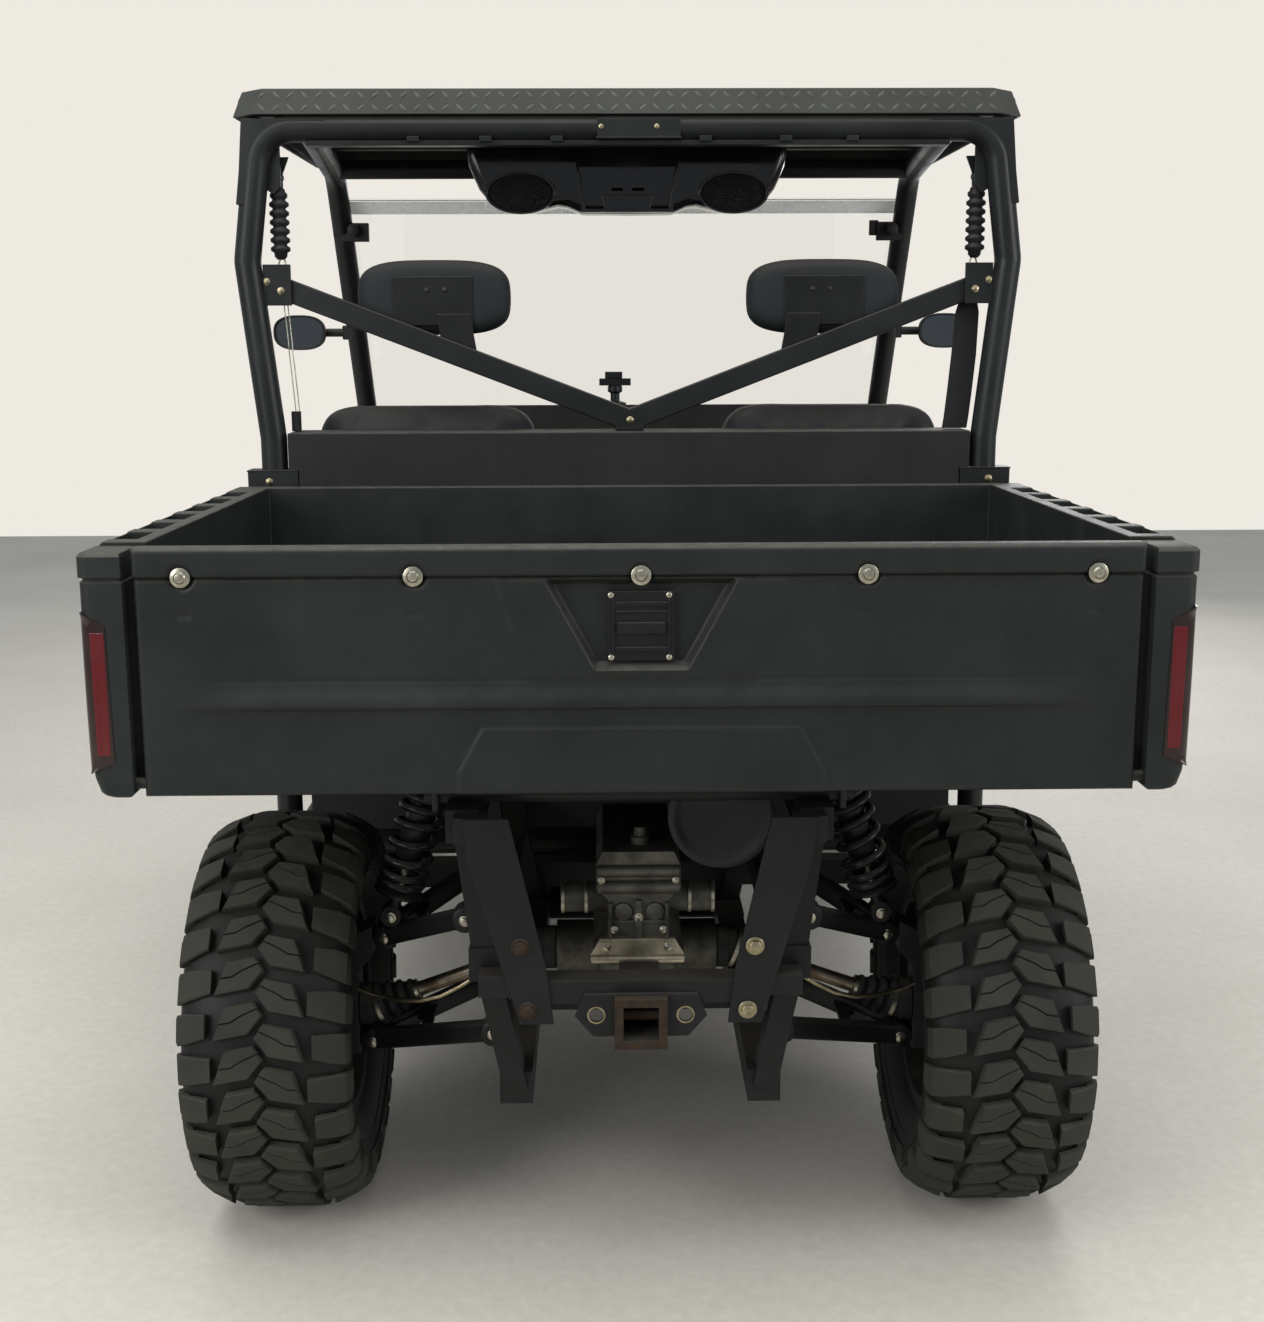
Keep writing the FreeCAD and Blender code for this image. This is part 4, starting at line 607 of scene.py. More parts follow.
def folds(length: float, wide: float, thin: float, count: int) -> list[tuple[float, float]]:
    """Profile of a folded boot that tapers from its cup to its shaft.

    Args:
        length: the boot's length.
        wide: radius at its cup.
        thin: radius at its shaft.
        count: how many folds it has.

    Returns:
        Pairs of distance and radius.
    """
    profile = []
    for i in range(count):
        share = i / count
        crest = wide + (thin - wide) * share
        start = length * share
        step = length / count
        profile += [(start, crest - 0.004), (start + 0.25 * step, crest), (start + 0.5 * step, crest),
                    (start + 0.8 * step, crest - 0.007), (start + 0.95 * step, crest - 0.006)]
    return profile + [(length, thin)]


def pillow(low: Vector, high: Vector, power: float, steps: int = 40) -> Mesh:
    """A crowned closed pad inside a box, with its outline a rounded rectangle seen along Y.

    Args:
        low: lowest corner of the box.
        high: highest corner.
        power: squareness of the outline.
        steps: points round the outline.

    Returns:
        The pad's mesh.
    """
    middle = (low + high) / 2
    half = (high - low) / 2
    bm = bmesh.new()
    rings = []
    # Share of the depth and share of the outline
    levels = [(-1.0, 0.35), (-0.985, 0.6), (-0.93, 0.8), (-0.78, 0.93), (-0.5, 0.99), (0.0, 1.0), (0.5, 0.99),
              (0.78, 0.93), (0.93, 0.8), (0.985, 0.6), (1.0, 0.35)]
    for depth, share in levels:
        ring = []
        for i in range(steps):
            x, z = rounded(2 * math.pi * i / steps, power)
            ring.append(Vector((middle.x + half.x * x * share, middle.y + half.y * depth,
                                middle.z + half.z * z * share)))
        rings.append(ring)
    ring_strip(bm, rings)
    return bm


def screw(bm: Mesh, seat: Vector, way: Vector, size_mm: float, washer: bool = True) -> None:
    """A hexagon head screw seated on a face, with a flanged washer.

    Args:
        bm: the mesh.
        seat: the place on the face.
        way: the direction out of the face.
        size_mm: the thread's size.
        washer: whether a washer lies below the head.
    """
    size = size_mm * MM
    way = way.normalized()
    lift = 0.0
    if washer:
        lift = 0.22 * size
        wide = 1.15 * size
        turned(bm, seat, way, [(-0.1 * size, wide), (lift * 0.7, wide), (lift, 1.05 * size)], 20)
    height = 0.65 * size
    turned(bm, seat, way, [(lift * 0.8, 0.86 * size), (lift + height * 0.85, 0.86 * size),
                           (lift + height, 0.72 * size)], 6)


def weld_normals(made: bpy.types.Object, degrees: float) -> None:
    """Shades a mesh smooth and keeps the edges sharper than an angle crisp.

    Args:
        made: the object.
        degrees: the angle.
    """
    mesh = made.data
    mesh.polygons.foreach_set("use_smooth", [True] * len(mesh.polygons))
    mesh.set_sharp_from_angle(angle=math.radians(degrees))


@dataclass
class Rounding:
    """How a new piece's edges are softened.

    Attributes:
        bevel_mm: width of the bevel, or 0.
        segments: facets across the bevel.
        crisp_deg: edges sharper than this stay crisp.
        smooth: levels of subdivision, or 0.
    """

    bevel_mm: float = 0.0
    segments: int = 2
    crisp_deg: float = 35.0
    smooth: int = 0


def piece(name: str, bm: Mesh, finish: Finish | ClearFinish,
          stands_for: Sequence[str] = (), rounding: Rounding | None = None,
          body: str = "chassis") -> bpy.types.Object:
    """Turns a finished mesh into a piece of the vehicle.

    Args:
        name: the piece's name.
        bm: its mesh, which is freed here.
        finish: its material.
        stands_for: the nodes that it replaces.
        rounding: how its edges are softened.
        body: the body that it rides on.

    Returns:
        The new object.
    """
    rounding = rounding or Rounding()
    bmesh.ops.recalc_face_normals(bm, faces=bm.faces)
    mesh = bpy.data.meshes.new(name)
    bm.to_mesh(mesh)
    bm.free()
    made = bpy.data.objects.new(name, mesh)
    bpy.context.scene.collection.objects.link(made)
    mesh.materials.append(finish.material())
    weld_normals(made, rounding.crisp_deg)
    if rounding.bevel_mm:
        bevel = made.modifiers.new("bevel", "BEVEL")
        bevel.width = rounding.bevel_mm * MM
        bevel.segments = rounding.segments
        bevel.limit_method = "ANGLE"
        bevel.angle_limit = math.radians(rounding.crisp_deg)
        bevel.harden_normals = True
    if rounding.smooth:
        smoother = made.modifiers.new("smooth", "SUBSURF")
        smoother.levels = rounding.smooth
        smoother.render_levels = rounding.smooth
    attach(made, body)
    if stands_for:
        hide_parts(*stands_for)
    log.info("%s: %d faces on %s", name, len(mesh.polygons), body)
    return made


def smooth_step(value: np.ndarray, low: float, high: float) -> np.ndarray:
    """A smooth rise from 0 at low to 1 at high."""
    share = np.clip((value - low) / (high - low), 0.0, 1.0)
    return share * share * (3 - 2 * share)


# Wheels


# Half the width of a rear tyre, for which the tread is drawn
REAR_TYRE_HALF = 0.135
# How far a rim's lip stands above the tyre's seat
RIM_LIP = 14 * MM


@dataclass
class Tyre:
    """One knobbly tyre: carcass, two rows of chevron blocks and shoulder lugs.

    Attributes:
        place: front_left and so on, as in the node's name.
        side: -1 on the left, 1 on the right.
        pitches: how many blocks go round.
        tread_mm: depth of the tread.
        sipe_mm: depth of the sipe across a block.
        sipe_half: half the sipe's width.
        steps: points round the carcass.
        block_outline: a centre block, across from the middle line in mm at the rear's width, and in
            degrees from its own middle.
        sipe_line: the line of the sipe, in the same way.
    """

    place: str
    side: int
    pitches: int = 30
    tread_mm: float = 15.0
    sipe_mm: float = 5.0
    sipe_half: float = 0.0012
    steps: int = 96
    block_outline: tuple = ((68, -5.25), (51, 3.5), (9, 5.0), (-5, 1.25), (16, -3.5))
    sipe_line: tuple = ((59.5, -0.9), (42, -0.5), (27, 1.2), (2, 3.2))

    def __post_init__(self) -> None:
        """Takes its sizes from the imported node."""
        low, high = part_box("tyre_" + self.place)
        self.middle = (low + high) / 2
        self.half = (high.x - low.x) / 2
        self.radius = (high.z - low.z) / 2
        self.fit = self.half / REAR_TYRE_HALF
        self.rim = frame_rim_radius(self.place)
        self.body = "wheel_" + self.place

    def spot(self, across: float, angle: float, radius: float) -> Vector:
        """A point of the tyre: metres outward from its middle, radians round it, metres from the axle."""
        return self.middle + Vector((self.side * across, -radius * math.cos(angle), radius * math.sin(angle)))

    def crown(self, across: float) -> float:
        """Radius of the lugs' tips at a distance from the middle."""
        share = min(abs(across) / self.half, 1.0)
        return self.radius - 0.034 * max(share - 0.35, 0.0) ** 2 / 0.65 ** 2

    def carcass(self) -> Mesh:
        """The carcass below the lugs, from bead to bead.

        Returns:
            Its mesh.
        """
        half, rim = self.half, self.rim
        floor = self.radius - self.tread_mm * MM
        bead = half - 0.044
        # Distance from the middle and radius
        side = [(bead, rim + 0.001), (bead, rim + 0.014), (bead + 0.012, rim + 0.022),
                (half - 0.014, rim + 0.045), (half - 0.005, rim + 0.075), (half - 0.004, self.radius - 0.062),
                (half - 0.012, self.radius - 0.04), (half - 0.026, floor - 0.014),
                (half * 0.62, floor - 0.004), (half * 0.3, floor), (0.0, floor)]
        profile = side + [(-x, r) for x, r in reversed(side[:-1])]
        bm = bmesh.new()
        rings = []
        for i in range(self.steps):
            angle = 2 * math.pi * i / self.steps
            rings.append([bm.verts.new(self.spot(x, angle, r)) for x, r in profile])
        for i in range(self.steps):
            here, there = rings[i], rings[(i + 1) % self.steps]
            for k in range(len(profile)):
                n = (k + 1) % len(profile)
                bm.faces.new((here[k], here[n], there[n], there[k]))
        return bm

    def lug(self, bm: Mesh, outline: Sequence[tuple[float, float]], angle: float, mirror: int,
            foot_mm: float, top_mm: float) -> None:
        """A tapered block on the carcass with a small bevel round its face.

        Args:
            bm: the mesh.
            outline: across in metres and radians from the block's middle.
            angle: the block's middle round the tyre.
            mirror: which half of the tread it is in.
            foot_mm: depth of its foot below the tips.
            top_mm: depth of its face below the tips.
        """
        mid_x = sum(x for x, _ in outline) / len(outline)
        mid_a = sum(a for _, a in outline) / len(outline)
        span = max(abs(x - mid_x) for x, _ in outline)
        rings = []
        # Depth below the tips and growth of the outline
        for depth, grow in ((foot_mm, 0.0022), (top_mm + 1.4, 0.0), (top_mm, -0.0016)):
            scale = 1 + grow / span
            ring = []
            for x, a in outline:
                across = mirror * (mid_x + (x - mid_x) * scale)
                turn = angle + mid_a + (a - mid_a) * scale
                ring.append(self.spot(across, turn, self.crown(across) - depth * MM))
            rings.append(ring)
        ring_strip(bm, rings)

    def centre_rows(self, bm: Mesh) -> None:
        """Both rows of chevron blocks, half a pitch apart, each split by a curved sipe.

        Args:
            bm: the mesh.
        """
        fit = self.fit * MM
        outline = [(x * fit, math.radians(a)) for x, a in self.block_outline]
        cut = [(x * fit, math.radians(a)) for x, a in self.sipe_line]
        shift = self.sipe_half / self.radius
        outer_low, outer_top, inner_top, tip, inner_low = outline
        upper = [(x, a + shift) for x, a in cut]
        lower = [(x, a - shift) for x, a in cut]
        upper_half = [outer_top, inner_top] + upper[::-1]
        lower_half = [outer_low] + lower + [tip, inner_low]
        for number in range(self.pitches):
            for mirror in SIDES:
                angle = 2 * math.pi * (number + (0.5 if mirror > 0 else 0.0)) / self.pitches
                self.lug(bm, outline, angle, mirror, self.tread_mm + 1, self.sipe_mm)
                for half_block in (upper_half, lower_half):
                    self.lug(bm, half_block, angle, mirror, self.sipe_mm + 1.5, 0.0)

    def shoulder_rows(self, bm: Mesh) -> None:
        """Lugs that step over both shoulders and down the sidewall, long and short in turn.

        Args:
            bm: the mesh.
        """
        half = self.half
        radius = self.radius
        start = 0.056 * self.fit + 0.018
        width = math.radians(360 / self.pitches)
        for number in range(self.pitches):
            for mirror in SIDES:
                angle = 2 * math.pi * (number + (0.25 if mirror > 0 else -0.25)) / self.pitches
                long_lug = number % 2 == 0
                end = radius - (0.075 if long_lug else 0.05)
                begin = start + (0.0 if long_lug else 0.008)
                # Across, radius of tip and foot, lean of the middle and half width as shares of a pitch
                stations = [
                    (begin, self.crown(start) - 0.001, radius - 0.018, 0.12, 0.27),
                    (half * 0.83, self.crown(half * 0.83), radius - 0.026, 0.04, 0.36),
                    (half * 0.955, radius - 0.031, radius - 0.046, -0.02, 0.38),
                    (half * 0.998, radius - 0.05, radius - 0.058, -0.04, 0.37),
                    (half - 0.0005, end + 0.004, end + 0.004, -0.05, 0.30 if long_lug else 0.34),
                    (half - 0.005, end - 0.004, end, -0.05, 0.22),
                ]
                rings = []
                for across, tip, foot, lean, share in stations:
                    middle = angle + lean * width
                    reach = share * width
                    inward = 0.0 if across < half * 0.9 else 0.012
                    edge = tip - 0.0025
                    section = ((-1.0, foot, inward), (-1.0, edge, 0.0), (-0.9, tip, 0.0), (0.9, tip, 0.0),
                               (1.0, edge, 0.0), (1.0, foot, inward))
                    rings.append([self.spot(mirror * (across - into), middle + turn * reach, away)
                                  for turn, away, into in section])
                ring_strip(bm, rings)

    def sidewall_marks(self, bm: Mesh) -> None:
        """Two plain moulded rings on both sidewalls.

        Args:
            bm: the mesh.
        """
        for mirror in SIDES:
            for radius, rise in ((self.rim + 0.052, 0.0016), (self.radius - 0.082, 0.0012)):
                across = self.half - (0.012 if radius < self.radius - 0.1 else 0.0045)
                turns = [2 * math.pi * i / self.steps for i in range(self.steps + 1)]
                path = [self.spot(mirror * across, turn, radius) for turn in turns]
                tube(bm, path, rise, 6)

    def build(self) -> None:
        """Makes the tyre's two pieces and dresses them."""
        body = self.carcass()
        self.sidewall_marks(body)
        node = ("tyre_" + self.place,)
        piece("carcass_" + self.place, body, SIDEWALL_RUBBER, node, Rounding(crisp_deg=50),
              self.body)
        lugs = bmesh.new()
        self.centre_rows(lugs)
        self.shoulder_rows(lugs)
        piece("lugs_" + self.place, lugs, TREAD_RUBBER, node, Rounding(crisp_deg=28),
              self.body)


def frame_rim_radius(place: str) -> float:
    """Seat radius of a rim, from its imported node's lip."""
    low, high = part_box("rim_" + place)
    return (high.z - low.z) / 2 - RIM_LIP


@dataclass
class WheelTrim:
    """What a wheel's face carries: its cap and nuts."""

    place: str
    side: int
    nuts: int = 4
    circle: float = 0.055
    reach: float = 0.050
    # Profiles as distance and radius
    cap: tuple = ((-0.002, 0.034), (0.02, 0.033), (0.03, 0.028), (0.034, 0.015))
    nut: tuple = ((-0.002, 0.0125), (0.006, 0.0125), (0.016, 0.011), (0.019, 0.007))

    def build(self) -> None:
        """Makes the trim of one wheel."""
        low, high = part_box("rim_" + self.place)
        middle = (low + high) / 2
        way = X * self.side
        bm = bmesh.new()
        face = middle + way * self.reach
        for number in range(self.nuts):
            angle = 2 * math.pi * (number + 0.5) / self.nuts
            seat = face + Vector((0, math.cos(angle), math.sin(angle))) * self.circle
            turned(bm, seat, way, self.nut, 6)
        turned(bm, face, way, self.cap, 28)
        piece("nuts_" + self.place, bm, BLACK_BOLT, body="wheel_" + self.place)


# Cargo bed


# Height of the seam below the bed's cap rail, at the tailgate and at both corners
RAIL_SEAM = 1.136


@dataclass
class Tailgate:
    """The moulded tailgate: cap, seam, latch recess, bulge and low raised panel."""

    step: float = 0.003
    rim: float = 0.007
    ground: float = 9 * MM
    cap: float = 6.5 * MM
    bulge: tuple = (0.955, 0.994)
    bulge_half: float = 0.662
    bulge_rise: float = 9 * MM
    # Half width and height of the raised panel's top, height of its shoulders
    panel: tuple = (0.252, 0.927, 0.865)
    panel_slant: float = 0.55
    # Half width and height of the latch recess's foot
    recess: tuple = (0.064, 1.008)
    recess_slope: float = 0.545
    recess_depth: float = 16 * MM
    # Half width and height of the ridge's foot, and how fast it widens
    ridge: tuple = (0.152, 0.996, 0.34)
    bolt_places: tuple = (-0.619, -0.307, 0.0, 0.307, 0.619)
    bolt_height: float = 1.138
    # Radius at which a bolt's round seat begins and ends to rise
    seat_mm: tuple = (15, 19)
    slot_height: float = 1.086
    screw_places: tuple = (-0.041, 0.038)
    screw_heights: tuple = (1.024, 1.110)

    def relief(self, x: np.ndarray, z: np.ndarray) -> np.ndarray:
        """How far the rear face stands back from its furthest plane, in metres.

        Args:
            x: places across.
            z: heights.

        Returns:
            The depth at each place.
        """
        mm = MM
        aside = np.abs(x)
        depth = np.full_like(x, self.ground)
        # The top cap, a little proud, with its groove below
        depth -= self.cap * smooth_step(z, RAIL_SEAM, RAIL_SEAM + 4 * mm)
        depth += 4.5 * mm * np.exp(-((z - RAIL_SEAM) / (1.6 * mm)) ** 2)
        # The bulge tapers at both ends: soft above, a sharp lip below
        ends = smooth_step(self.bulge_half - aside, 0.0, 0.16)
        low, high = self.bulge
        swell = smooth_step(z, low - 3 * mm, low + 3 * mm) * (1 - smooth_step(z, low + 2 * mm, high + 2 * mm))
        depth -= self.bulge_rise * ends * swell
        depth += 1.2 * mm * np.exp(-((z - high - 1 * mm) / (1.5 * mm)) ** 2) * ends
        # The low raised panel has slanted shoulders
        half, top, shoulder = self.panel
        inside = np.minimum(top - z, half - aside - np.clip(z - shoulder, 0, 1) * self.panel_slant)
        depth -= 2.6 * mm * smooth_step(inside, -3 * mm, 3 * mm)
        # The latch recess is an upside down trapezoid with a soft rim
        half, foot = self.recess
        under_seam = RAIL_SEAM - 3 * mm
        wall = half + (z - foot) * self.recess_slope - aside
        rim = np.minimum(wall, z - foot)
        recess = np.minimum(rim, under_seam - z)
        depth += self.recess_depth * smooth_step(recess, 0.0, 9 * mm)
        depth -= 1.6 * mm * np.exp(-(rim / (4 * mm)) ** 2) * (z < under_seam)
        # An outer ridge stands beside the recess
        half, foot, slope = self.ridge
        inside = half + (z - foot) * slope - aside
        along = smooth_step(z, 0.99, 1.0) * (1 - smooth_step(z, 1.128, 1.134))
        depth -= 1.8 * mm * smooth_step(inside, -3 * mm, 3 * mm) * along * (recess < 0)
        # The five bolts sit in shallow round seats, the four outer ones above small slots
        begin, end = self.seat_mm
        for place in self.bolt_places:
            away = np.hypot(x - place, z - self.bolt_height)
            depth += 5.2 * mm * (1 - smooth_step(away, begin * mm, end * mm))
            if place:
                slot = np.maximum(np.abs(x - place) - 9 * mm, np.abs(z - self.slot_height) - 3 * mm)
                depth += 1.5 * mm * (1 - smooth_step(slot, 0.0, 2 * mm))
        return depth

    def shell(self) -> Mesh:
        """The closed moulding: the relief behind, a plain face with a sloped edge before.

        Returns:
            Its mesh.
        """
        low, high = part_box("tailgate")
        columns = round((high.x - low.x) / self.step)
        rows = round((high.z - low.z) / self.step)
        xs = np.linspace(low.x, high.x, columns + 1)
        zs = np.linspace(low.z, high.z, rows + 1)
        grid_x, grid_z = np.meshgrid(xs, zs)
        depth = self.relief(grid_x, grid_z)
        # The rim rolls forward round all four edges
        edge = np.minimum.reduce([grid_x - low.x, high.x - grid_x, grid_z - low.z, high.z - grid_z])
        share = np.clip(1 - edge / self.rim, 0, 1)
        depth += self.rim * (1 - np.sqrt(1 - share ** 2 * 0.999))
        bm = bmesh.new()
        verts = [[bm.verts.new((xs[i], low.y + depth[k, i], zs[k])) for i in range(columns + 1)]
                 for k in range(rows + 1)]
        for k in range(rows):
            for i in range(columns):
                bm.faces.new((verts[k][i], verts[k][i + 1], verts[k + 1][i + 1], verts[k + 1][i]))
        border = (verts[0] + [row[-1] for row in verts[1:]] + verts[-1][-2::-1]
                  + [row[0] for row in verts[-2:0:-1]])
        slope = 3 * MM
        front = [bm.verts.new((v.co.x, high.y - slope, v.co.z)) for v in border]
        inner = []
        middle = (low + high) / 2
        for v in front:
            pull_x = math.copysign(slope, middle.x - v.co.x)
            pull_z = math.copysign(slope, middle.z - v.co.z)
            inner.append(bm.verts.new((v.co.x + pull_x, high.y, v.co.z + pull_z)))
        count = len(border)
        for i in range(count):
            j = (i + 1) % count
            bm.faces.new((border[i], front[i], front[j], border[j]))
            bm.faces.new((front[i], inner[i], inner[j], front[j]))
        bm.faces.new(inner)
        return bm

    def bolts(self) -> None:
        """The five bolts with their washers."""
        low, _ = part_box("tailgate")
        bm = bmesh.new()
        for place in self.bolt_places:
            seat = Vector((place, low.y + 7.8 * MM, self.bolt_height))
            turned(bm, seat, -Y, [(-0.001, 0.0135), (0.0016, 0.0135), (0.0022, 0.0125)], 28)
            turned(bm, seat, -Y, [(0.001, 0.0085), (0.0045, 0.0085), (0.0068, 0.0066), (0.0076, 0.003)], 20)
        piece("tailgate_bolts", bm, ZINC, body="gate")

    def latch(self) -> None:
        """Latch plate with rolled lips, its pull bar and four small screws."""
        low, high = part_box("tailgate_latch")
        face = high.y - 5 * MM
        bm = bmesh.new()
        block(bm, (low.x, face, low.z), (high.x, high.y, high.z))
        # Height, rise and half height of the lips across the plate
        for z, rise, half in ((1.098, 3.5, 3.0), (1.036, 4.0, 3.0), (1.087, 2.0, 1.5)):
            block(bm, (-0.036, face - rise * MM, z - half * MM), (0.036, face + 1 * MM, z + half * MM))
        block(bm, (-0.033, low.y + 1 * MM, 1.058), (0.033, face + 1 * MM, 1.073))
        for x in (-0.038, 0.038):
            block(bm, (x - 2 * MM, face - 3 * MM, 1.03), (x + 2 * MM, face + 1 * MM, 1.104))
        piece("latch_plate", bm, SPRING_COAT, ("tailgate_latch",), Rounding(1.0, 3), "gate")
        screws = bmesh.new()
        head = ((-0.001, 0.0042), (0.0014, 0.004), (0.0026, 0.002))
        for x in self.screw_places:
            for z in self.screw_heights:
                turned(screws, Vector((x, face, z)), -Y, head, 14)
        piece("latch_screws", screws, ZINC, body="gate")

    def build(self) -> None:
        """Makes the tailgate's pieces."""
        piece("tailgate_moulding", self.shell(), BED_PLASTIC, ("tailgate",),
              Rounding(crisp_deg=60), "gate")
        self.bolts()
        self.latch()


@dataclass
class RearCorner:
    """One rear corner of the bed: the post with its cap, and the tail lamp."""

    side: int
    inner: float = 0.6965
    radius: float = 0.016
    # How far the post's face lies inside the node's box
    sunk: float = 0.002
    flat_levels: tuple = (0.86, 0.89, 0.93, 0.97, 1.01, 1.05, 1.10, RAIL_SEAM - 0.004)
    lamp_levels: tuple = (0.869, 0.876, 0.884, 0.95, 1.0, 1.05, 1.073, 1.082, 1.092)
    # Height, inset and how far proud of the housing each section is
    lens_levels: tuple = ((0.893, 0.003, -0.002), (0.8945, 0.0, 0.0006), (0.98, 0.0, 0.0006),
                          (1.064, 0.0, 0.0006), (1.0655, 0.003, -0.002))
    lens_inner: float = 0.724
    lens_edge: float = 0.013
    # The tailgate's pin: place along Y and height
    pin: tuple = (-1.46, 0.851)

    def __post_init__(self) -> None:
        """Takes the corner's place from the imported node."""
        low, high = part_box("corner_posts")
        self.back = low.y
        self.front = high.y
        self.low = low.z
        self.top = high.z
        self.outer = high.x

    def outer_at(self, z: float) -> float:
        """Distance of the post's outer side from the vehicle's middle: it leans in towards its foot.

        Args:
            z: the height.

        Returns:
            The distance.
        """
        lean = max(0.0, 1.02 - z)
        tuck = max(0.0, 0.87 - z) / 0.037
        return self.outer - self.sunk - 0.06 * lean ** 2 / 0.035 * 0.03 - 0.012 * tuck

    def section(self, z: float, inset: float = 0.0, proud: float = 0.0) -> list[Vector]:
        """Outline of the post at a height, rounded at its outer rear corner.

        Args:
            z: the height.
            inset: how far the outline is drawn in.
            proud: how far its outer and rear sides stand out.

        Returns:
            The outline's points in order.
        """
        outer = self.outer_at(z) - inset + proud
        inner = self.inner + inset
        back = self.back + inset - proud + self.sunk
        radius = self.radius
        points = [(inner, self.front - inset), (inner, back)]
        for k in range(7):
            angle = math.pi / 2 * k / 6
            points.append((outer - radius * (1 - math.sin(angle)), back + radius * (1 - math.cos(angle))))
        points.append((outer, self.front - inset))
        return [Vector((self.side * x, y, z)) for x, y in points]

    def post(self) -> None:
        """The post with its rolled foot, seam and cap."""
        # Height, inset and how far the section stands proud
        levels = [(self.low, 0.008, 0.0), (self.low + 0.003, 0.003, 0.0), (self.low + 0.008, 0.0, 0.0)]
        levels += [(z, 0.0, 0.0) for z in self.flat_levels]
        levels += [(RAIL_SEAM - 0.0015, 0.003, 0.0), (RAIL_SEAM + 0.0015, 0.003, 0.0),
                   (RAIL_SEAM + 0.003, 0.0, 0.0018), (self.top - 0.006, 0.0, 0.0018),
                   (self.top - 0.0015, 0.002, 0.0), (self.top, 0.006, 0.0)]
        bm = bmesh.new()
        ring_strip(bm, [self.section(*level) for level in levels])
        pin = Vector((self.side * (self.inner + 0.004), *self.pin))
        turned(bm, pin, -X * self.side, [(0.0, 0.008), (0.034, 0.008), (0.036, 0.006)], 16)
        piece("corner_post_" + hand(self.side), bm, BED_PLASTIC, ("corner_posts",),
              Rounding(crisp_deg=40), "bed")

    def lamp_inner(self, z: float) -> float:
        """Inner edge of the lamp's housing, which slants out towards its top and foot.

        Args:
            z: the height.

        Returns:
            Its distance from the vehicle's middle.
        """
        slant = 0.7195 + 0.003 * (z - 0.883) / 0.19
        top = max(0.0, z - 1.073) / 0.019
        foot = max(0.0, 0.884 - z) / 0.016
        return slant + (0.7545 - slant) * min(max(top, foot), 1.0)

    def lamp_ring(self, z: float, proud: float) -> list[Vector]:
        """Outline of the lamp at a height, following the post's corner.

        Args:
            z: the height.
            proud: how far it stands out of the post.

        Returns:
            The outline's points in order.
        """
        outer = self.outer_at(z) + proud
        back = self.back + self.sunk - proud
        inner = self.lamp_inner(z)
        radius = self.radius
        points = [(inner, back + 0.012), (inner, back)]
        for k in range(7):
            angle = math.pi / 2 * k / 6
            points.append((max(outer - radius + radius * math.sin(angle), inner + 0.0004 * (k + 1)),
                           back + radius - radius * math.cos(angle)))
        points.append((max(outer, inner + 0.004), back + 0.032))
        return [Vector((self.side * x, y, z)) for x, y in points]

    def lamp(self) -> None:
        """Smoked housing flush in the corner, with the red lens standing in it."""
        name = hand(self.side)
        housing_proud = 0.0012
        bm = bmesh.new()
        ring_strip(bm, [self.lamp_ring(z, housing_proud) for z in self.lamp_levels])
        node = ("tail_lamps",)
        piece("lamp_housing_" + name, bm, LENS_SMOKED, node, Rounding(crisp_deg=50), "bed")
        back = self.back + self.sunk - housing_proud
        rows = []
        for z, inset, proud in self.lens_levels:
            outer = self.outer_at(z) - self.lens_edge - inset
            inner = self.lens_inner + inset
            foot, face = back + 0.004, back - proud
            section = ((inner, foot), (inner, face), ((inner + outer) / 2, face - 0.2 * MM), (outer, face),
                       (outer, foot))
            rows.append([Vector((self.side * x, y, z)) for x, y in section])
        lens = bmesh.new()
        ring_strip(lens, rows)
        piece("lamp_lens_" + name, lens, LENS_RED, node, Rounding(0.8, 2, 30), "bed")

    def build(self) -> None:
        """Makes both pieces of the corner."""
        self.post()
        self.lamp()


# Cab


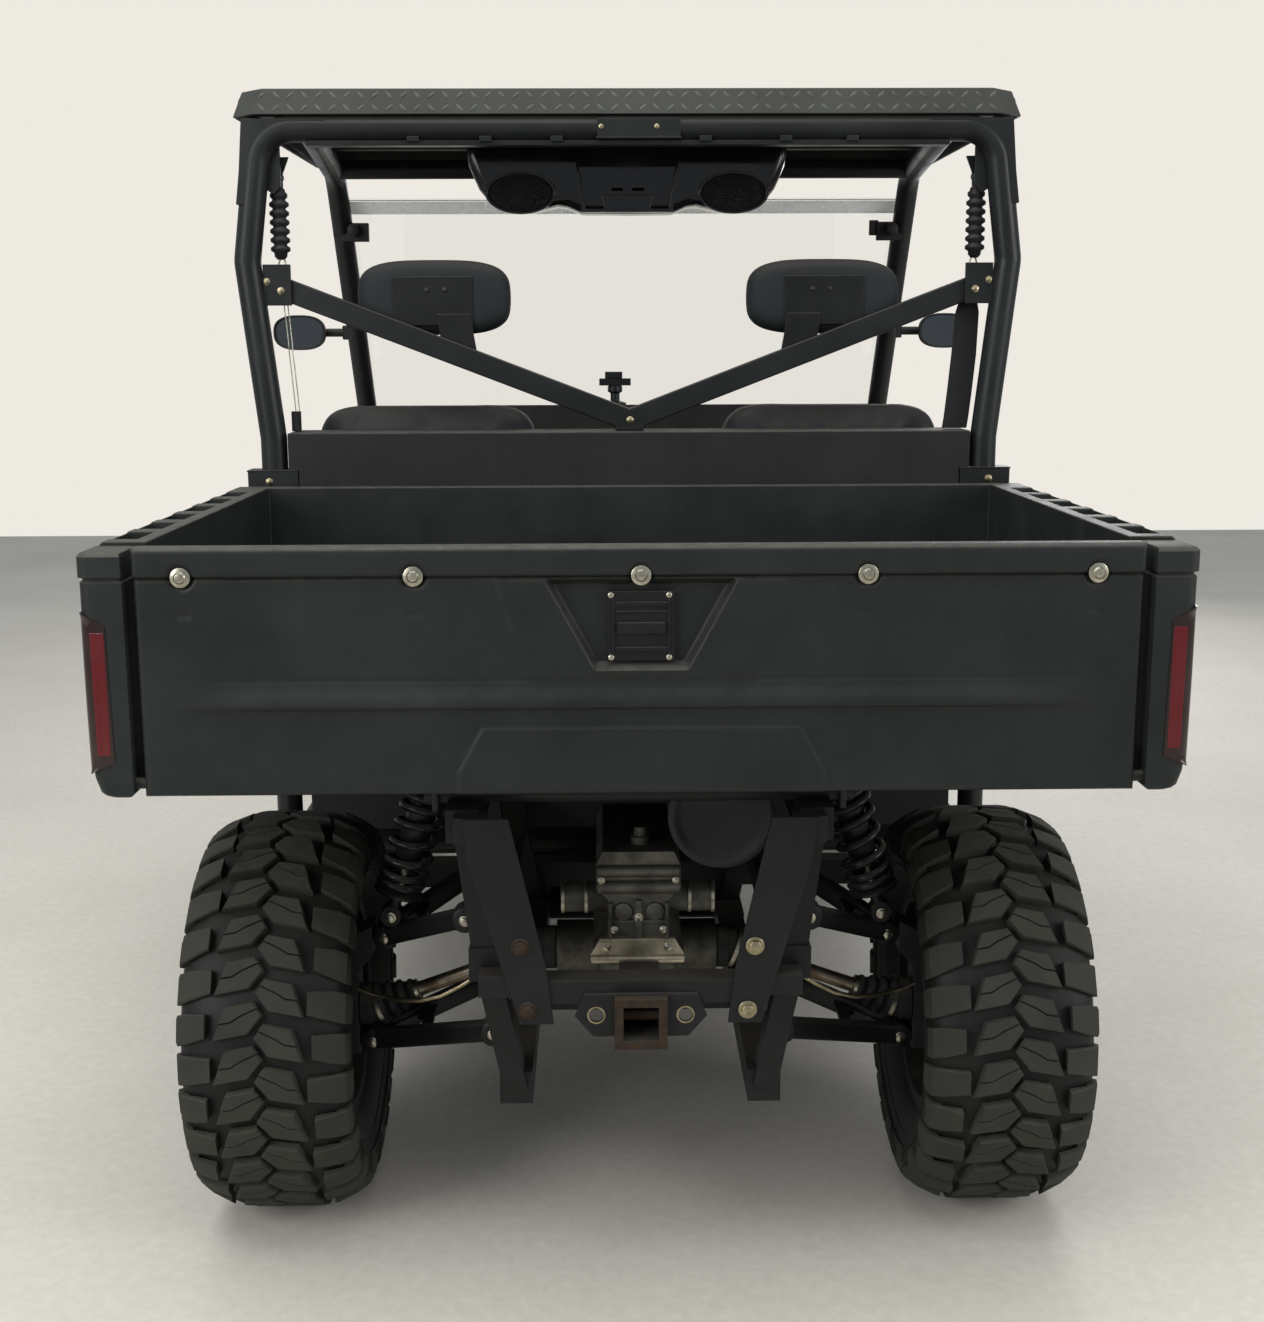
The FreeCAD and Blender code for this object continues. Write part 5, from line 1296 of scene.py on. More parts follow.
@dataclass
class Roof:
    """Raised lozenges of the roof's tread plate."""

    pitch: float = 0.026
    length: float = 0.023
    width: float = 0.0065
    rise: float = 0.001
    # Outline of a lozenge as shares of its length and width
    shape: tuple = ((1.0, 0.0), (0.55, 0.75), (0.0, 1.0), (-0.55, 0.75), (-1.0, 0.0), (-0.55, -0.75),
                    (0.0, -1.0), (0.55, -0.75))
    # How far the folded edges reach outward, and the cut corners that they leave out
    slant: float = 0.016
    corner: float = 0.05
    margin: float = 0.018
    # Sum of both distances below which a place lies in a cut corner
    cut: float = 0.066

    def lozenge(self, bm: Mesh, centre: Vector, along: Vector, out: Vector) -> None:
        """One raised lozenge: a pointed oval with a low crown.

        Args:
            bm: the mesh.
            centre: its middle on the plate.
            along: its long direction.
            out: the direction out of the plate.
        """
        over = out.cross(along)
        rings = []
        # Share of the length, share of the width and height
        for long_share, wide_share, lift in ((1.0, 1.0, -0.3 * MM), (0.72, 0.5, self.rise)):
            half, wide = self.length / 2 * long_share, self.width / 2 * wide_share
            middle = centre + out * lift
            rings.append([middle + along * (half * a) + over * (wide * b) for a, b in self.shape])
        ring_strip(bm, rings)

    def cover(self, bm: Mesh, corner: Vector, right: Vector, up: Vector, size: tuple[float, float],
              keep: Callable[[float, float], bool] = lambda a, b: True) -> None:
        """Covers a rectangle with lozenges that lean left and right in turn.

        Args:
            bm: the mesh.
            corner: one corner of the rectangle.
            right: direction of its first side.
            up: direction of its second side.
            size: its two lengths.
            keep: whether a place, in metres from the corner, gets a lozenge.
        """
        out = right.cross(up).normalized()
        columns = int(size[0] / self.pitch)
        rows = max(1, int(size[1] / self.pitch + 0.3))
        for i in range(columns):
            for k in range(rows):
                a = (i + 0.5) * size[0] / columns
                b = (k + 0.5) * size[1] / rows
                if not keep(a, b):
                    continue
                lean = math.radians(45 if (i + k) % 2 else -45)
                along = right * math.cos(lean) + up * math.sin(lean)
                self.lozenge(bm, corner + right * a + up * b, along, out)

    def build(self) -> None:
        """Covers the roof's top and its four slanted edges."""
        low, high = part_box("roof")
        bm = bmesh.new()
        width = high.x - low.x - 2 * self.slant
        depth = high.y - low.y - 2 * self.slant

        def on_top(a: float, b: float) -> bool:
            """Tells whether a place on the top lies inside the cut corners.

            Args:
                a: distance along its first side.
                b: distance along its second side.

            Returns:
                True where it does.
            """
            near_x = min(a, width - a)
            near_y = min(b, depth - b)
            return min(near_x, near_y) > self.margin and near_x + near_y > self.cut

        self.cover(bm, Vector((low.x + self.slant, low.y + self.slant, high.z)), X, Y, (width, depth), on_top)
        tall = 0.98 * math.hypot(self.slant, high.z - low.z)
        wide, deep = high.x - low.x - 2 * self.corner, high.y - low.y - 2 * self.corner
        # Corner, direction along, direction inward, length and loss of height of each edge
        edges = (((low.x + self.corner, low.y), X, Y, wide, 0.0),
                 ((high.x - self.corner, high.y), -X, -Y, wide, 0.5 * MM),
                 ((low.x, high.y - self.corner), -Y, X, deep, 0.5 * MM),
                 ((high.x, low.y + self.corner), Y, -X, deep, 0.5 * MM))
        for corner, along, inward, size, loss in edges:
            lean = inward * self.slant + Z * (high.z - low.z - loss)
            self.cover(bm, Vector((*corner, low.z)), along, lean.normalized(), (size, tall))
        piece("roof_lozenges", bm, TREAD_LOZENGE, (), Rounding(crisp_deg=60))


@dataclass
class Headrests:
    """Both moulded headrests with their back plates and brackets."""

    inner: float = 0.228
    squareness: float = 3.4
    rise: float = 0.010
    fill: float = 0.9
    # Outlines as x and z
    plate: tuple = ((0.300, 1.478), (0.452, 1.478), (0.452, 1.570), (0.300, 1.570))
    strap: tuple = ((0.292, 1.423), (0.362, 1.452), (0.370, 1.500), (0.305, 1.500))
    screws: tuple = (0.352, 0.386)
    screw_height: float = 1.545

    def pad(self, side: int) -> None:
        """One pad: higher and fuller towards the outside, as moulded.

        Args:
            side: -1 on the left, 1 on the right.
        """
        low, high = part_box("headrests")
        near, far = sorted((side * self.inner, side * high.x))
        box_low = Vector((near, low.y + 2 * MM, low.z))
        box_high = Vector((far, high.y, high.z))
        bm = pillow(box_low, box_high, self.squareness)
        middle = (box_low + box_high) / 2
        for v in bm.verts:
            share = (v.co.x - middle.x) * side / ((high.x - self.inner) / 2)
            drop = (middle.z - v.co.z) / ((high.z - low.z) / 2)
            v.co.z += self.rise * max(share, 0.0) ** 2 * max(drop, 0.0)
            v.co.y = max(v.co.y, box_low.y)
        made = piece("headrest_" + hand(side), bm, FOAM_SKIN, ("headrests",),
                     Rounding(smooth=1, crisp_deg=180))

    def bracket(self, side: int) -> None:
        """Back plate with two screws and the angled bracket down to the brace.

        Args:
            side: -1 on the left, 1 on the right.
        """
        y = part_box("headrests")[0].y
        thick = Y * (4 * MM)
        bm = bmesh.new()
        prism(bm, upright(self.plate, y - 1 * MM, side), thick)
        prism(bm, upright(self.strap, y - 4 * MM, side), thick)
        piece("headrest_bracket_" + hand(side), bm, FRAME_COAT, (), Rounding(1.5, 2))
        screws = bmesh.new()
        for x in self.screws:
            turned(screws, Vector((side * x, y - 1 * MM, self.screw_height)), -Y, PAN_HEAD, 12)
        piece("headrest_screws_" + hand(side), screws, BLACK_BOLT)

    def build(self) -> None:
        """Makes both headrests."""
        for side in SIDES:
            self.pad(side)
            self.bracket(side)


# Running gear


@dataclass
class CoilOver:
    """One coil-over shock: damper, spring, preload collar, bushings and bolts."""

    name: str
    top: Vector
    foot: Vector
    turns: float = 7.4
    coil: float = 0.0345
    wire: float = 0.0068
    body: float = 0.0235
    seat: float = 0.0412
    threads: int = 6
    thread: float = 0.006
    stem: float = 0.0068
    eye: float = 0.0185
    eye_half: float = 0.016

    def damper(self, along: Vector, length: float) -> Mesh:
        """Damper, spring seats, preload thread and eyes.

        Args:
            along: direction from the top down.
            length: from eye to eye.

        Returns:
            Their mesh.
        """
        body, seat = self.body, self.seat
        end = 0.6 * length
        bm = bmesh.new()
        turned(bm, self.top, along, [(0.012, 0.010), (0.02, 0.021), (0.028, body), (end, body),
                                     (end + 6 * MM, 0.020)], 28)
        turned(bm, self.top, along, [(0.024, 0.030), (0.026, seat), (0.033, seat), (0.036, 0.030)], 32)
        turned(bm, self.foot, -along, [(0.036, 0.024), (0.040, seat), (0.045, seat), (0.047, 0.028)], 32)
        for number in range(self.threads):
            start = 0.046 + self.thread * number
            root, crest = body + 0.2 * MM, body + 1.2 * MM
            turned(bm, self.top, along, [(start, root), (start + self.thread / 2, crest),
                                         (start + self.thread, root)], 28)
        for eye, way in ((self.top, along), (self.foot, -along)):
            bushing(bm, eye, Y, self.eye_half, self.eye, 2 * MM)
            beam(bm, [eye + way * 0.012, eye + way * 0.03], 0.02, 0.026, 3.0)
        return bm

    def build(self) -> None:
        """Makes the shock's steel, its spring and its bolts."""
        along = (self.foot - self.top).normalized()
        length = (self.foot - self.top).length
        node = ("shock_absorbers",)
        piece("shock_body_" + self.name, self.damper(along, length), FRAME_COAT, node,
              Rounding(crisp_deg=40))
        spring = bmesh.new()
        line = helix(self.top + along * 0.041, along, length - 0.093, self.coil, self.turns)
        tube(spring, line, self.wire, 10)
        piece("shock_spring_" + self.name, spring, SPRING_COAT, node,
              Rounding(crisp_deg=60))
        bright = bmesh.new()
        turned(bright, self.foot, -along, [(0.03, self.stem), (0.42 * length, self.stem)], 20)
        for eye in (self.top, self.foot):
            for way in SIDES:
                screw(bright, eye + Y * (self.eye * way), Y * way, 8.0)
        piece("shock_bolts_" + self.name, bright, ZINC, node, Rounding(crisp_deg=40))


@dataclass
class Wishbone:
    """One wishbone: two box beams, a slotted web between them, bushings and pivot bolts."""

    name: str
    side: int
    axle: float
    inner: tuple[float, float]
    outer: tuple[float, float]
    apex: float
    # Place of the bar that carries a shock's foot, if it has one
    bar: tuple[float, float] | None = None
    spread: float = 0.124
    wide: float = 0.027
    tall: float = 0.034
    pivot: float = 0.021
    # Outlines as shares outward and aside
    web_corners: tuple = ((0.52, -1.0), (0.52, 1.0), (0.93, 1.0), (0.93, -1.0))
    web_hole: tuple = ((0.61, -0.55), (0.61, 0.55), (0.84, 0.5), (0.84, -0.5))

    def point(self, share: float, aside: float) -> Vector:
        """A point of the wishbone's plane.

        Args:
            share: how far out it is, from 0 at the pivots to 1.
            aside: how far aside, as a share of half the spread there.

        Returns:
            The point.
        """
        x = self.inner[0] + (self.outer[0] - self.inner[0]) * share
        z = self.inner[1] + (self.outer[1] - self.inner[1]) * share
        half = self.spread + (self.apex - self.spread) * share
        return Vector((self.side * x, self.axle + aside * half, z))

    def web(self, bm: Mesh) -> None:
        """The pressed plate between the beams, with its long hole.

        Args:
            bm: the mesh.
        """
        half_thick = Z * (4 * MM)
        loops = []
        for loop, shares in ((self.web_corners, (0.0, 1 / 3, 2 / 3)), (self.web_hole, (0.25, 0.5, 0.75))):
            points = []
            for i in range(4):
                a, b = loop[i], loop[(i + 1) % 4]
                points += [self.point(a[0] + (b[0] - a[0]) * t, a[1] + (b[1] - a[1]) * t) for t in shares]
            loops.append([p + half_thick for p in points])
        pierced(bm, loops[0], loops[1], -2 * half_thick)

    def build(self) -> None:
        """Makes the wishbone and its bolts."""
        node = ("suspension_arms",)
        bm = bmesh.new()
        bright = bmesh.new()
        for way in SIDES:
            start = self.point(0.0, way)
            end = self.point(1.0, way) if self.apex else self.point(0.96, way)
            beam(bm, [start + (end - start) * t for t in (0.04, 0.3, 0.7, 1.0)], self.wide, self.tall)
            bushing(bm, start, Y, 0.021, self.pivot, 3 * MM)
            for end_way in SIDES:
                screw(bright, start + Y * (0.0205 * end_way), Y * end_way, 8.0)
        self.web(bm)
        end = self.point(1.0, 0.0)
        if self.apex:
            bushing(bm, end, Y, 0.031, 0.0205, 4 * MM)
            screw(bright, end - Y * 0.0305, -Y, 8.0)
        else:
            bushing(bm, end, Z, 0.0235, 0.0195, 7.5 * MM, 3 * MM)
        if self.bar:
            x, z = self.bar
            bushing(bm, Vector((self.side * x, self.axle, z)), Y, 0.048, 0.012, 2 * MM, sides=20)
        piece("wishbone_" + self.name, bm, FRAME_COAT, node, Rounding(crisp_deg=40))
        piece("pivot_bolts_" + self.name, bright, ZINC, node, Rounding(crisp_deg=40))


@dataclass
class HalfShaft:
    """One half shaft with its folded boots, clamps and joint cups."""

    name: str
    side: int
    axle: float
    inner: tuple[float, float]
    outer: tuple[float, float]
    boot: float = 0.074
    wide: float = 0.037
    thin: float = 0.0165
    steel: float = 0.0128
    waist: float = 0.0120
    cup: float = 0.0365
    cup_reach: float = 0.03

    def build(self) -> None:
        """Makes shaft, boots, cups and clamps."""
        node = ("half_shafts",)
        inner = Vector((self.side * self.inner[0], self.axle, self.inner[1]))
        outer = Vector((self.side * self.outer[0], self.axle, self.outer[1]))
        outward = X * self.side
        start = inner + outward * self.cup_reach
        end = outer - outward * self.cup_reach
        along = (end - start).normalized()
        length = (end - start).length
        steel = bmesh.new()
        turned(steel, start, along, [(0.0, self.steel), (0.1, self.steel), (0.5 * length, self.waist),
                                     (length, self.steel)], 24)
        piece("shaft_" + self.name, steel, DRAWN_STEEL, node, Rounding(crisp_deg=60))
        rubber = bmesh.new()
        profile = folds(self.boot, self.wide, self.thin, 4)
        turned(rubber, start, along, profile, 32)
        turned(rubber, end, -along, profile, 32)
        piece("shaft_boots_" + self.name, rubber, BOOT_RUBBER, node,
              Rounding(crisp_deg=70))
        cups = bmesh.new()
        cup = self.cup
        for place, way in ((inner, outward), (outer, -outward)):
            turned(cups, place, way, [(0, cup - 2.5 * MM), (0.002, cup), (0.02, cup), (0.024, cup - 3.5 * MM),
                                      (0.036, cup - 3.5 * MM)], 32)
        piece("shaft_cups_" + self.name, cups, CAST_IRON, node, Rounding(crisp_deg=40))
        bands = bmesh.new()
        large, small = self.wide + 0.4 * MM, self.thin + 1.7 * MM
        for place, way in ((start, along), (end, -along)):
            turned(bands, place, way, [(-0.001, 0.036), (0, large), (0.007, large), (0.008, 0.036)], 32)
            turned(bands, place, way, [(self.boot - 0.007, self.thin), (self.boot - 0.006, small),
                                       (self.boot, small), (self.boot + 0.001, self.thin)], 28)
        piece("shaft_bands_" + self.name, bands, ZINC, node, Rounding(crisp_deg=40))


@dataclass
class RearDrive:
    """What the rear gearcase carries, the muffler, the hitch's fasteners and the brake lines."""

    back: float = -1.215
    # Height and radius of the lid's rolls
    rolls: tuple = ((0.638, 0.0095), (0.612, 0.0105))
    # Place across, half width, low and high end of the waist's ribs
    ribs: tuple = ((0.0, 0.005, 0.53, 0.592), (-0.044, 0.003, 0.527, 0.588), (0.044, 0.003, 0.527, 0.588))
    foot: tuple = ((-0.076, 0.490), (0.072, 0.490), (0.072, 0.504), (0.056, 0.530), (-0.060, 0.530),
                   (-0.076, 0.504))
    # Place across, height and thread
    case_bolts: tuple = ((-0.050, 0.517, 6), (0.046, 0.517, 6), (-0.058, 0.625, 5), (0.058, 0.625, 5),
                         (0.0, 0.565, 6), (-0.038, 0.545, 5), (0.038, 0.545, 5))
    rings: tuple = (0.079, 0.116)
    # Middle of the muffler's rear face
    can: tuple = (0.126, -1.262, 0.738)
    can_radius: float = 0.0805
    can_back: tuple = ((0.010, 0.0), (0.010, 0.060), (0.006, 0.068), (0.0, 0.0715), (-0.001, 0.0765),
                       (0.002, 0.0815), (0.012, 0.082))
    pipe: tuple = ((0, 0.36, -0.02), (0, 0.44, -0.02), (0, 0.48, -0.026), (-0.008, 0.53, -0.045),
                   (-0.024, 0.62, -0.092), (-0.038, 0.72, -0.138), (-0.040, 0.745, -0.148))
    leg_back: float = -1.378
    receiver: tuple = (0.0, -1.3966, 0.461)
    rusted_bolts: tuple = ((-0.177, 0.576), (-0.167, 0.477))
    bright_bolts: tuple = ((0.168, 0.575), (0.158, 0.476))
    brake_line: tuple = ((0.206, -1.100, 0.462), (0.222, -1.104, 0.453), (0.252, -1.106, 0.432),
                         (0.293, -1.106, 0.406), (0.325, -1.104, 0.389), (0.359, -1.098, 0.379),
                         (0.400, -1.085, 0.3755), (0.440, -1.062, 0.376), (0.470, -1.034, 0.374))

    def case_trim(self) -> None:
        """Rolls of the lid, ribs of the waist, the flared foot, the breather and the bolts."""
        bm = bmesh.new()
        y = self.back
        for z, radius in self.rolls:
            bushing(bm, Vector((0.0, y - 1 * MM, z)), X, 0.066, radius, 3 * MM, 3 * MM, 20)
        for x, wide, low, high in self.ribs:
            block(bm, (x - wide, y - 9 * MM, low), (x + wide, y + 2 * MM, high))
        block(bm, (-0.048, y - 5 * MM, 0.553), (0.048, y + 2 * MM, 0.559))
        for x in (-0.024, 0.026):
            turned(bm, Vector((x, y + 1 * MM, 0.572)), -Y, [(0, 0.016), (0.005, 0.015), (0.007, 0.010)], 24)
        turned(bm, Vector((0.004, y + 50 * MM, 0.668)), Z, [(0, 0.016), (0.012, 0.015), (0.014, 0.011),
                                                           (0.028, 0.010)], 24)
        piece("gearcase_ribs", bm, CAST_DARK, (), Rounding(1.4, 2, 40))
        foot = bmesh.new()
        prism(foot, upright(self.foot, y - 9 * MM), Y * (11 * MM))
        turned(foot, Vector((self.foot[0][0] - 0.5 * MM, y - 8 * MM, 0.497)), X,
               [(0, 0.005), (0.002, 0.007), (0.147, 0.007), (0.149, 0.005)], 20)
        piece("gearcase_foot", foot, CAST_ALUMINIUM, (), Rounding(1.4, 2, 40))
        bolts = bmesh.new()
        for x, z, size in self.case_bolts:
            screw(bolts, Vector((x, y - 9 * MM, z)), -Y, size)
        for side in SIDES:
            for place in self.rings:
                turned(bolts, Vector((side * place, -1.145, 0.573)), X * side,
                       [(0, 0.024), (0.001, 0.0262), (0.006, 0.0262), (0.007, 0.024)], 32)
        piece("gearcase_bolts", bolts, ZINC, (), Rounding(crisp_deg=40))

    def muffler(self) -> None:
        """The can with rolled ends and a dished rear face, its strap and the pipe from the engine."""
        middle = Vector(self.can)
        wall = self.can_radius
        # a rolled seam at half length, then the front end
        rest = [(0.015, wall), (0.185, wall), (0.187, wall + 1 * MM), (0.192, wall + 1 * MM), (0.194, wall),
                (0.366, wall), (0.370, wall + 1.5 * MM), (0.379, wall - 0.5 * MM), (0.380, 0.02)]
        bm = bmesh.new()
        turned(bm, middle, Y, list(self.can_back) + rest, 56)
        tube(bm, [middle + Vector(p) for p in self.pipe], 0.021, 20)
        piece("muffler_can", bm, MUFFLER_COAT, ("muffler",), Rounding(crisp_deg=50))
        strap = bmesh.new()
        low, high = wall + 0.3 * MM, wall + 2.7 * MM
        for y in (0.158, 0.176):
            turned(strap, middle + Y * y, Y, [(0, low), (0.001, high), (0.011, high), (0.012, low)], 56)
        block(strap, (0.196, -1.112, 0.724), (0.2345, -1.072, 0.752))
        piece("muffler_strap", strap, FRAME_COAT, ("muffler",), Rounding(crisp_deg=40))

    def square(self, half: float) -> list[Vector]:
        """Corners and side middles of a square round the receiver's bore.

        Args:
            half: half its side.

        Returns:
            The eight points in order.
        """
        x, y, z = self.receiver
        steps = ((-1, -1), (0, -1), (1, -1), (1, 0), (1, 1), (0, 1), (-1, 1), (-1, 0))
        return [Vector((x + half * a, y, z + half * b)) for a, b in steps]

    def hitch(self) -> None:
        """Rusted collar and pin of the receiver, and the bolts of the two leaning legs."""
        bm = bmesh.new()
        pierced(bm, self.square(0.0392), self.square(0.0262), Y * 0.0172)
        for x, z in self.rusted_bolts:
            screw(bm, Vector((x, self.leg_back, z)), -Y, 12.0)
        turned(bm, Vector((-0.0335, -1.358, self.receiver[2])), X, [(0, 0.0078), (0.067, 0.0078)], 16)
        piece("hitch_collar", bm, RUSTED_STEEL, (), Rounding(1.2, 2, 40))
        bright = bmesh.new()
        for x, z in self.bright_bolts:
            screw(bright, Vector((x, self.leg_back, z)), -Y, 12.0)
        for side in SIDES:
            eye = Vector((side * 0.066, self.leg_back - 0.8 * MM, 0.469))
            pierced(bright, circle(eye, -Y, 0.0135, 24), circle(eye, -Y, 0.0112, 24), Y * (1 * MM))
        piece("hitch_bolts", bright, ZINC_YELLOW, (), Rounding(crisp_deg=40))

    def brake_lines(self) -> None:
        """Thin brake lines that sag from the frame's posts to the rear uprights."""
        bm = bmesh.new()
        for side in SIDES:
            tube(bm, [Vector((side * x, y, z)) for x, y, z in self.brake_line], 3.8 * MM, 12)
        piece("brake_lines", bm, ZINC_YELLOW, (), Rounding(crisp_deg=60))

    def build(self) -> None:
        """Makes the gearcase's trim, the muffler, the hitch's fasteners and the brake lines."""
        self.case_trim()
        self.muffler()
        self.hitch()
        self.brake_lines()


# Cage and cab


@dataclass
class CageTrim:
    """Bolts, lip and small plates of the rear hoop and its brace."""

    hoop_y: float = -0.459
    back: float = -0.4855
    tabs: tuple = (-0.40, -0.266, -0.134, 0.143, 0.293, 0.417)
    # The boxed corner that carries the roof, and the plate inside a leg, as x and z
    corner: tuple = ((0.7325, 1.70), (0.7245, 1.76), (0.7165, 1.8535), (0.56, 1.8535), (0.56, 1.840),
                     (0.650, 1.835), (0.685, 1.785), (0.700, 1.70))
    gusset: tuple = ((0.653, 1.812), (0.680, 1.812), (0.684, 1.74), (0.679, 1.728), (0.667, 1.72),
                     (0.653, 1.735))
    brace_bolts: tuple = ((0.685, 1.560), (0.659, 1.543))
    socket: float = 0.685

    def plates(self) -> Mesh:
        """The lip with its tabs, the middle plate, the boxed corners and the gussets.

        Returns:
            Their mesh.
        """
        bm = bmesh.new()
        block(bm, (-0.60, -0.474, 1.806), (0.60, -0.440, 1.815))
        for x in self.tabs:
            block(bm, (x - 0.011, -0.482, 1.812), (x + 0.011, -0.470, 1.822))
        block(bm, (-0.058, self.back, 1.819), (0.096, -0.478, 1.853))
        block(bm, (-0.060, self.back - 0.3 * MM, 1.8165), (0.098, -0.474, 1.8205))
        for side in SIDES:
            prism(bm, upright(self.corner, -0.4815, side), Y * 0.045)
            prism(bm, upright(self.gusset, self.hoop_y + 6 * MM, side), Y * (8 * MM))
        return bm

    def build(self) -> None:
        """Makes plates, bolts and socket rims."""
        piece("hoop_lip", self.plates(), CAGE_COAT, (), Rounding(1.0, 2, 40))
        bolts = bmesh.new()
        for side in SIDES:
            for x, z in self.brace_bolts:
                screw(bolts, Vector((side * x, -0.463, z)), -Y, 6.0)
            screw(bolts, Vector((side * 0.692, -0.486, 1.185)), -Y, 6.0)
        screw(bolts, Vector((0.001, -0.4547, 1.298)), -Y, 6.0)
        for x in (-0.051, 0.052):
            turned(bolts, Vector((x, self.back, 1.838)), -Y, PAN_HEAD, 16)
        piece("cage_bolts", bolts, ZINC_YELLOW, (), Rounding(crisp_deg=40))
        rims = bmesh.new()
        for side in SIDES:
            x = side * self.socket
            block(rims, (x - 0.0495, -0.4868, 1.2035), (x + 0.0495, -0.4325, 1.2068))
        piece("socket_rims", rims, FRAME_COAT, (), Rounding(1.0, 2, 40))


@dataclass
class Pod:
    """Overhead speaker pod: one gloss moulding with two speakers and a middle panel."""

    half: float = 0.322
    # Lower edge of the right half as x and z
    outline: tuple = ((0.0, 1.7015), (0.092, 1.7025), (0.106, 1.708), (0.121, 1.7145), (0.140, 1.7175),
                      (0.163, 1.7125), (0.190, 1.7065), (0.225, 1.7055), (0.255, 1.712), (0.279, 1.725),
                      (0.298, 1.748), (0.309, 1.772), (0.318, 1.795), (0.322, 1.812), (0.322, 1.8625))
    # Place along Y from the rear face, and how far the outline is drawn in
    levels: tuple = ((0.004, 0.016), (0.006, 0.008), (0.012, 0.002), (0.022, 0.0), (0.12, 0.002),
                     (0.225, 0.012), (0.245, 0.024), (0.252, 0.04))
    # Place of a speaker, then distance and radius of its grille's rings
    speaker: tuple = (0.214, 1.7405)
    grille: tuple = ((0.003, 0.068), (-0.001, 0.0655), (-0.003, 0.060), (-0.004, 0.03), (-0.0045, 0.008))
    squash: float = 0.56
    keys: tuple = (-0.020, 0.022)

    def panel(self, wide: float, narrow: float, low: float, high: float, y: float) -> list[Vector]:
        """Eight points of a trapezoid that narrows downward.

        Args:
            wide: half its upper side.
            narrow: half its lower side.
            low: height of its lower side.
            high: height of its upper side.
            y: its plane.

        Returns:
            The points in order.
        """
        mid, level = (wide + narrow) / 2, (low + high) / 2
        return upright(((-narrow, low), (0, low), (narrow, low), (mid, level), (wide, high), (0, high),
                        (-wide, high), (-mid, level)), y)

    def moulding(self) -> Mesh:
        """The shell and the raised frame of the middle unit, with its lower lip.

        Returns:
            Their mesh.
        """
        low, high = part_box("overhead_pod")
        top = high.z - 1 * MM
        half = [(x, min(z, top)) for x, z in self.outline]
        line = [(-x, z) for x, z in reversed(half[1:])] + half
        rings = []
        for y, inset in self.levels:
            scale = (self.half - inset) / self.half
            lifted = [(x * scale, min(z + inset if z < top - 0.05 else z, top)) for x, z in line]
            rings.append(upright(lifted, low.y + 2 * MM + y))
        bm = bmesh.new()
        ring_strip(bm, rings)
        y = low.y + 1 * MM
        outer = self.panel(0.107, 0.092, 1.7025, 1.835, y)
        pierced(bm, outer, self.panel(0.097, 0.084, 1.7095, 1.79, y), Y * 0.012)
        prism(bm, self.panel(0.052, 0.046, 1.706, 1.7365, y + 0.5 * MM), Y * (8 * MM))
        return bm

    def build(self) -> None:
        """Makes moulding, grilles, panel and keys."""
        node = ("overhead_pod",)
        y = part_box("overhead_pod")[0].y
        piece("pod_moulding", self.moulding(), GLOSS_ABS, node, Rounding(1.2, 3, 32))
        mesh = bmesh.new()
        ribs = bmesh.new()
        for side in SIDES:
            centre = Vector((side * self.speaker[0], y + 6 * MM, self.speaker[1]))
            ring_strip(mesh, [circle(centre + Y * d, -Y, r, 48, self.squash) for d, r in self.grille])
            face = centre - Y * (4 * MM)
            outer = circle(face, -Y, 0.0715, 48, self.squash + 0.02)
            pierced(ribs, outer, circle(face, -Y, 0.0655, 48, self.squash), Y * (7 * MM))
        piece("pod_grilles", mesh, SPEAKER_MESH, node, Rounding(crisp_deg=60))
        piece("pod_grille_rims", ribs, GLOSS_ABS, node, Rounding(1.0, 2, 32))
        keys = bmesh.new()
        for x in self.keys:
            prism(keys, upright(((x - 0.0125, 1.7435), (x + 0.0125, 1.7435), (x + 0.0125, 1.751),
                                 (x - 0.0125, 1.751)), y + 6 * MM), Y * (8 * MM))
        block(keys, (-0.097, y + 8 * MM, 1.765), (0.097, y + 14 * MM, 1.772))
        piece("pod_keys", keys, TRIM_PLASTIC, node, Rounding(0.8, 2, 32))


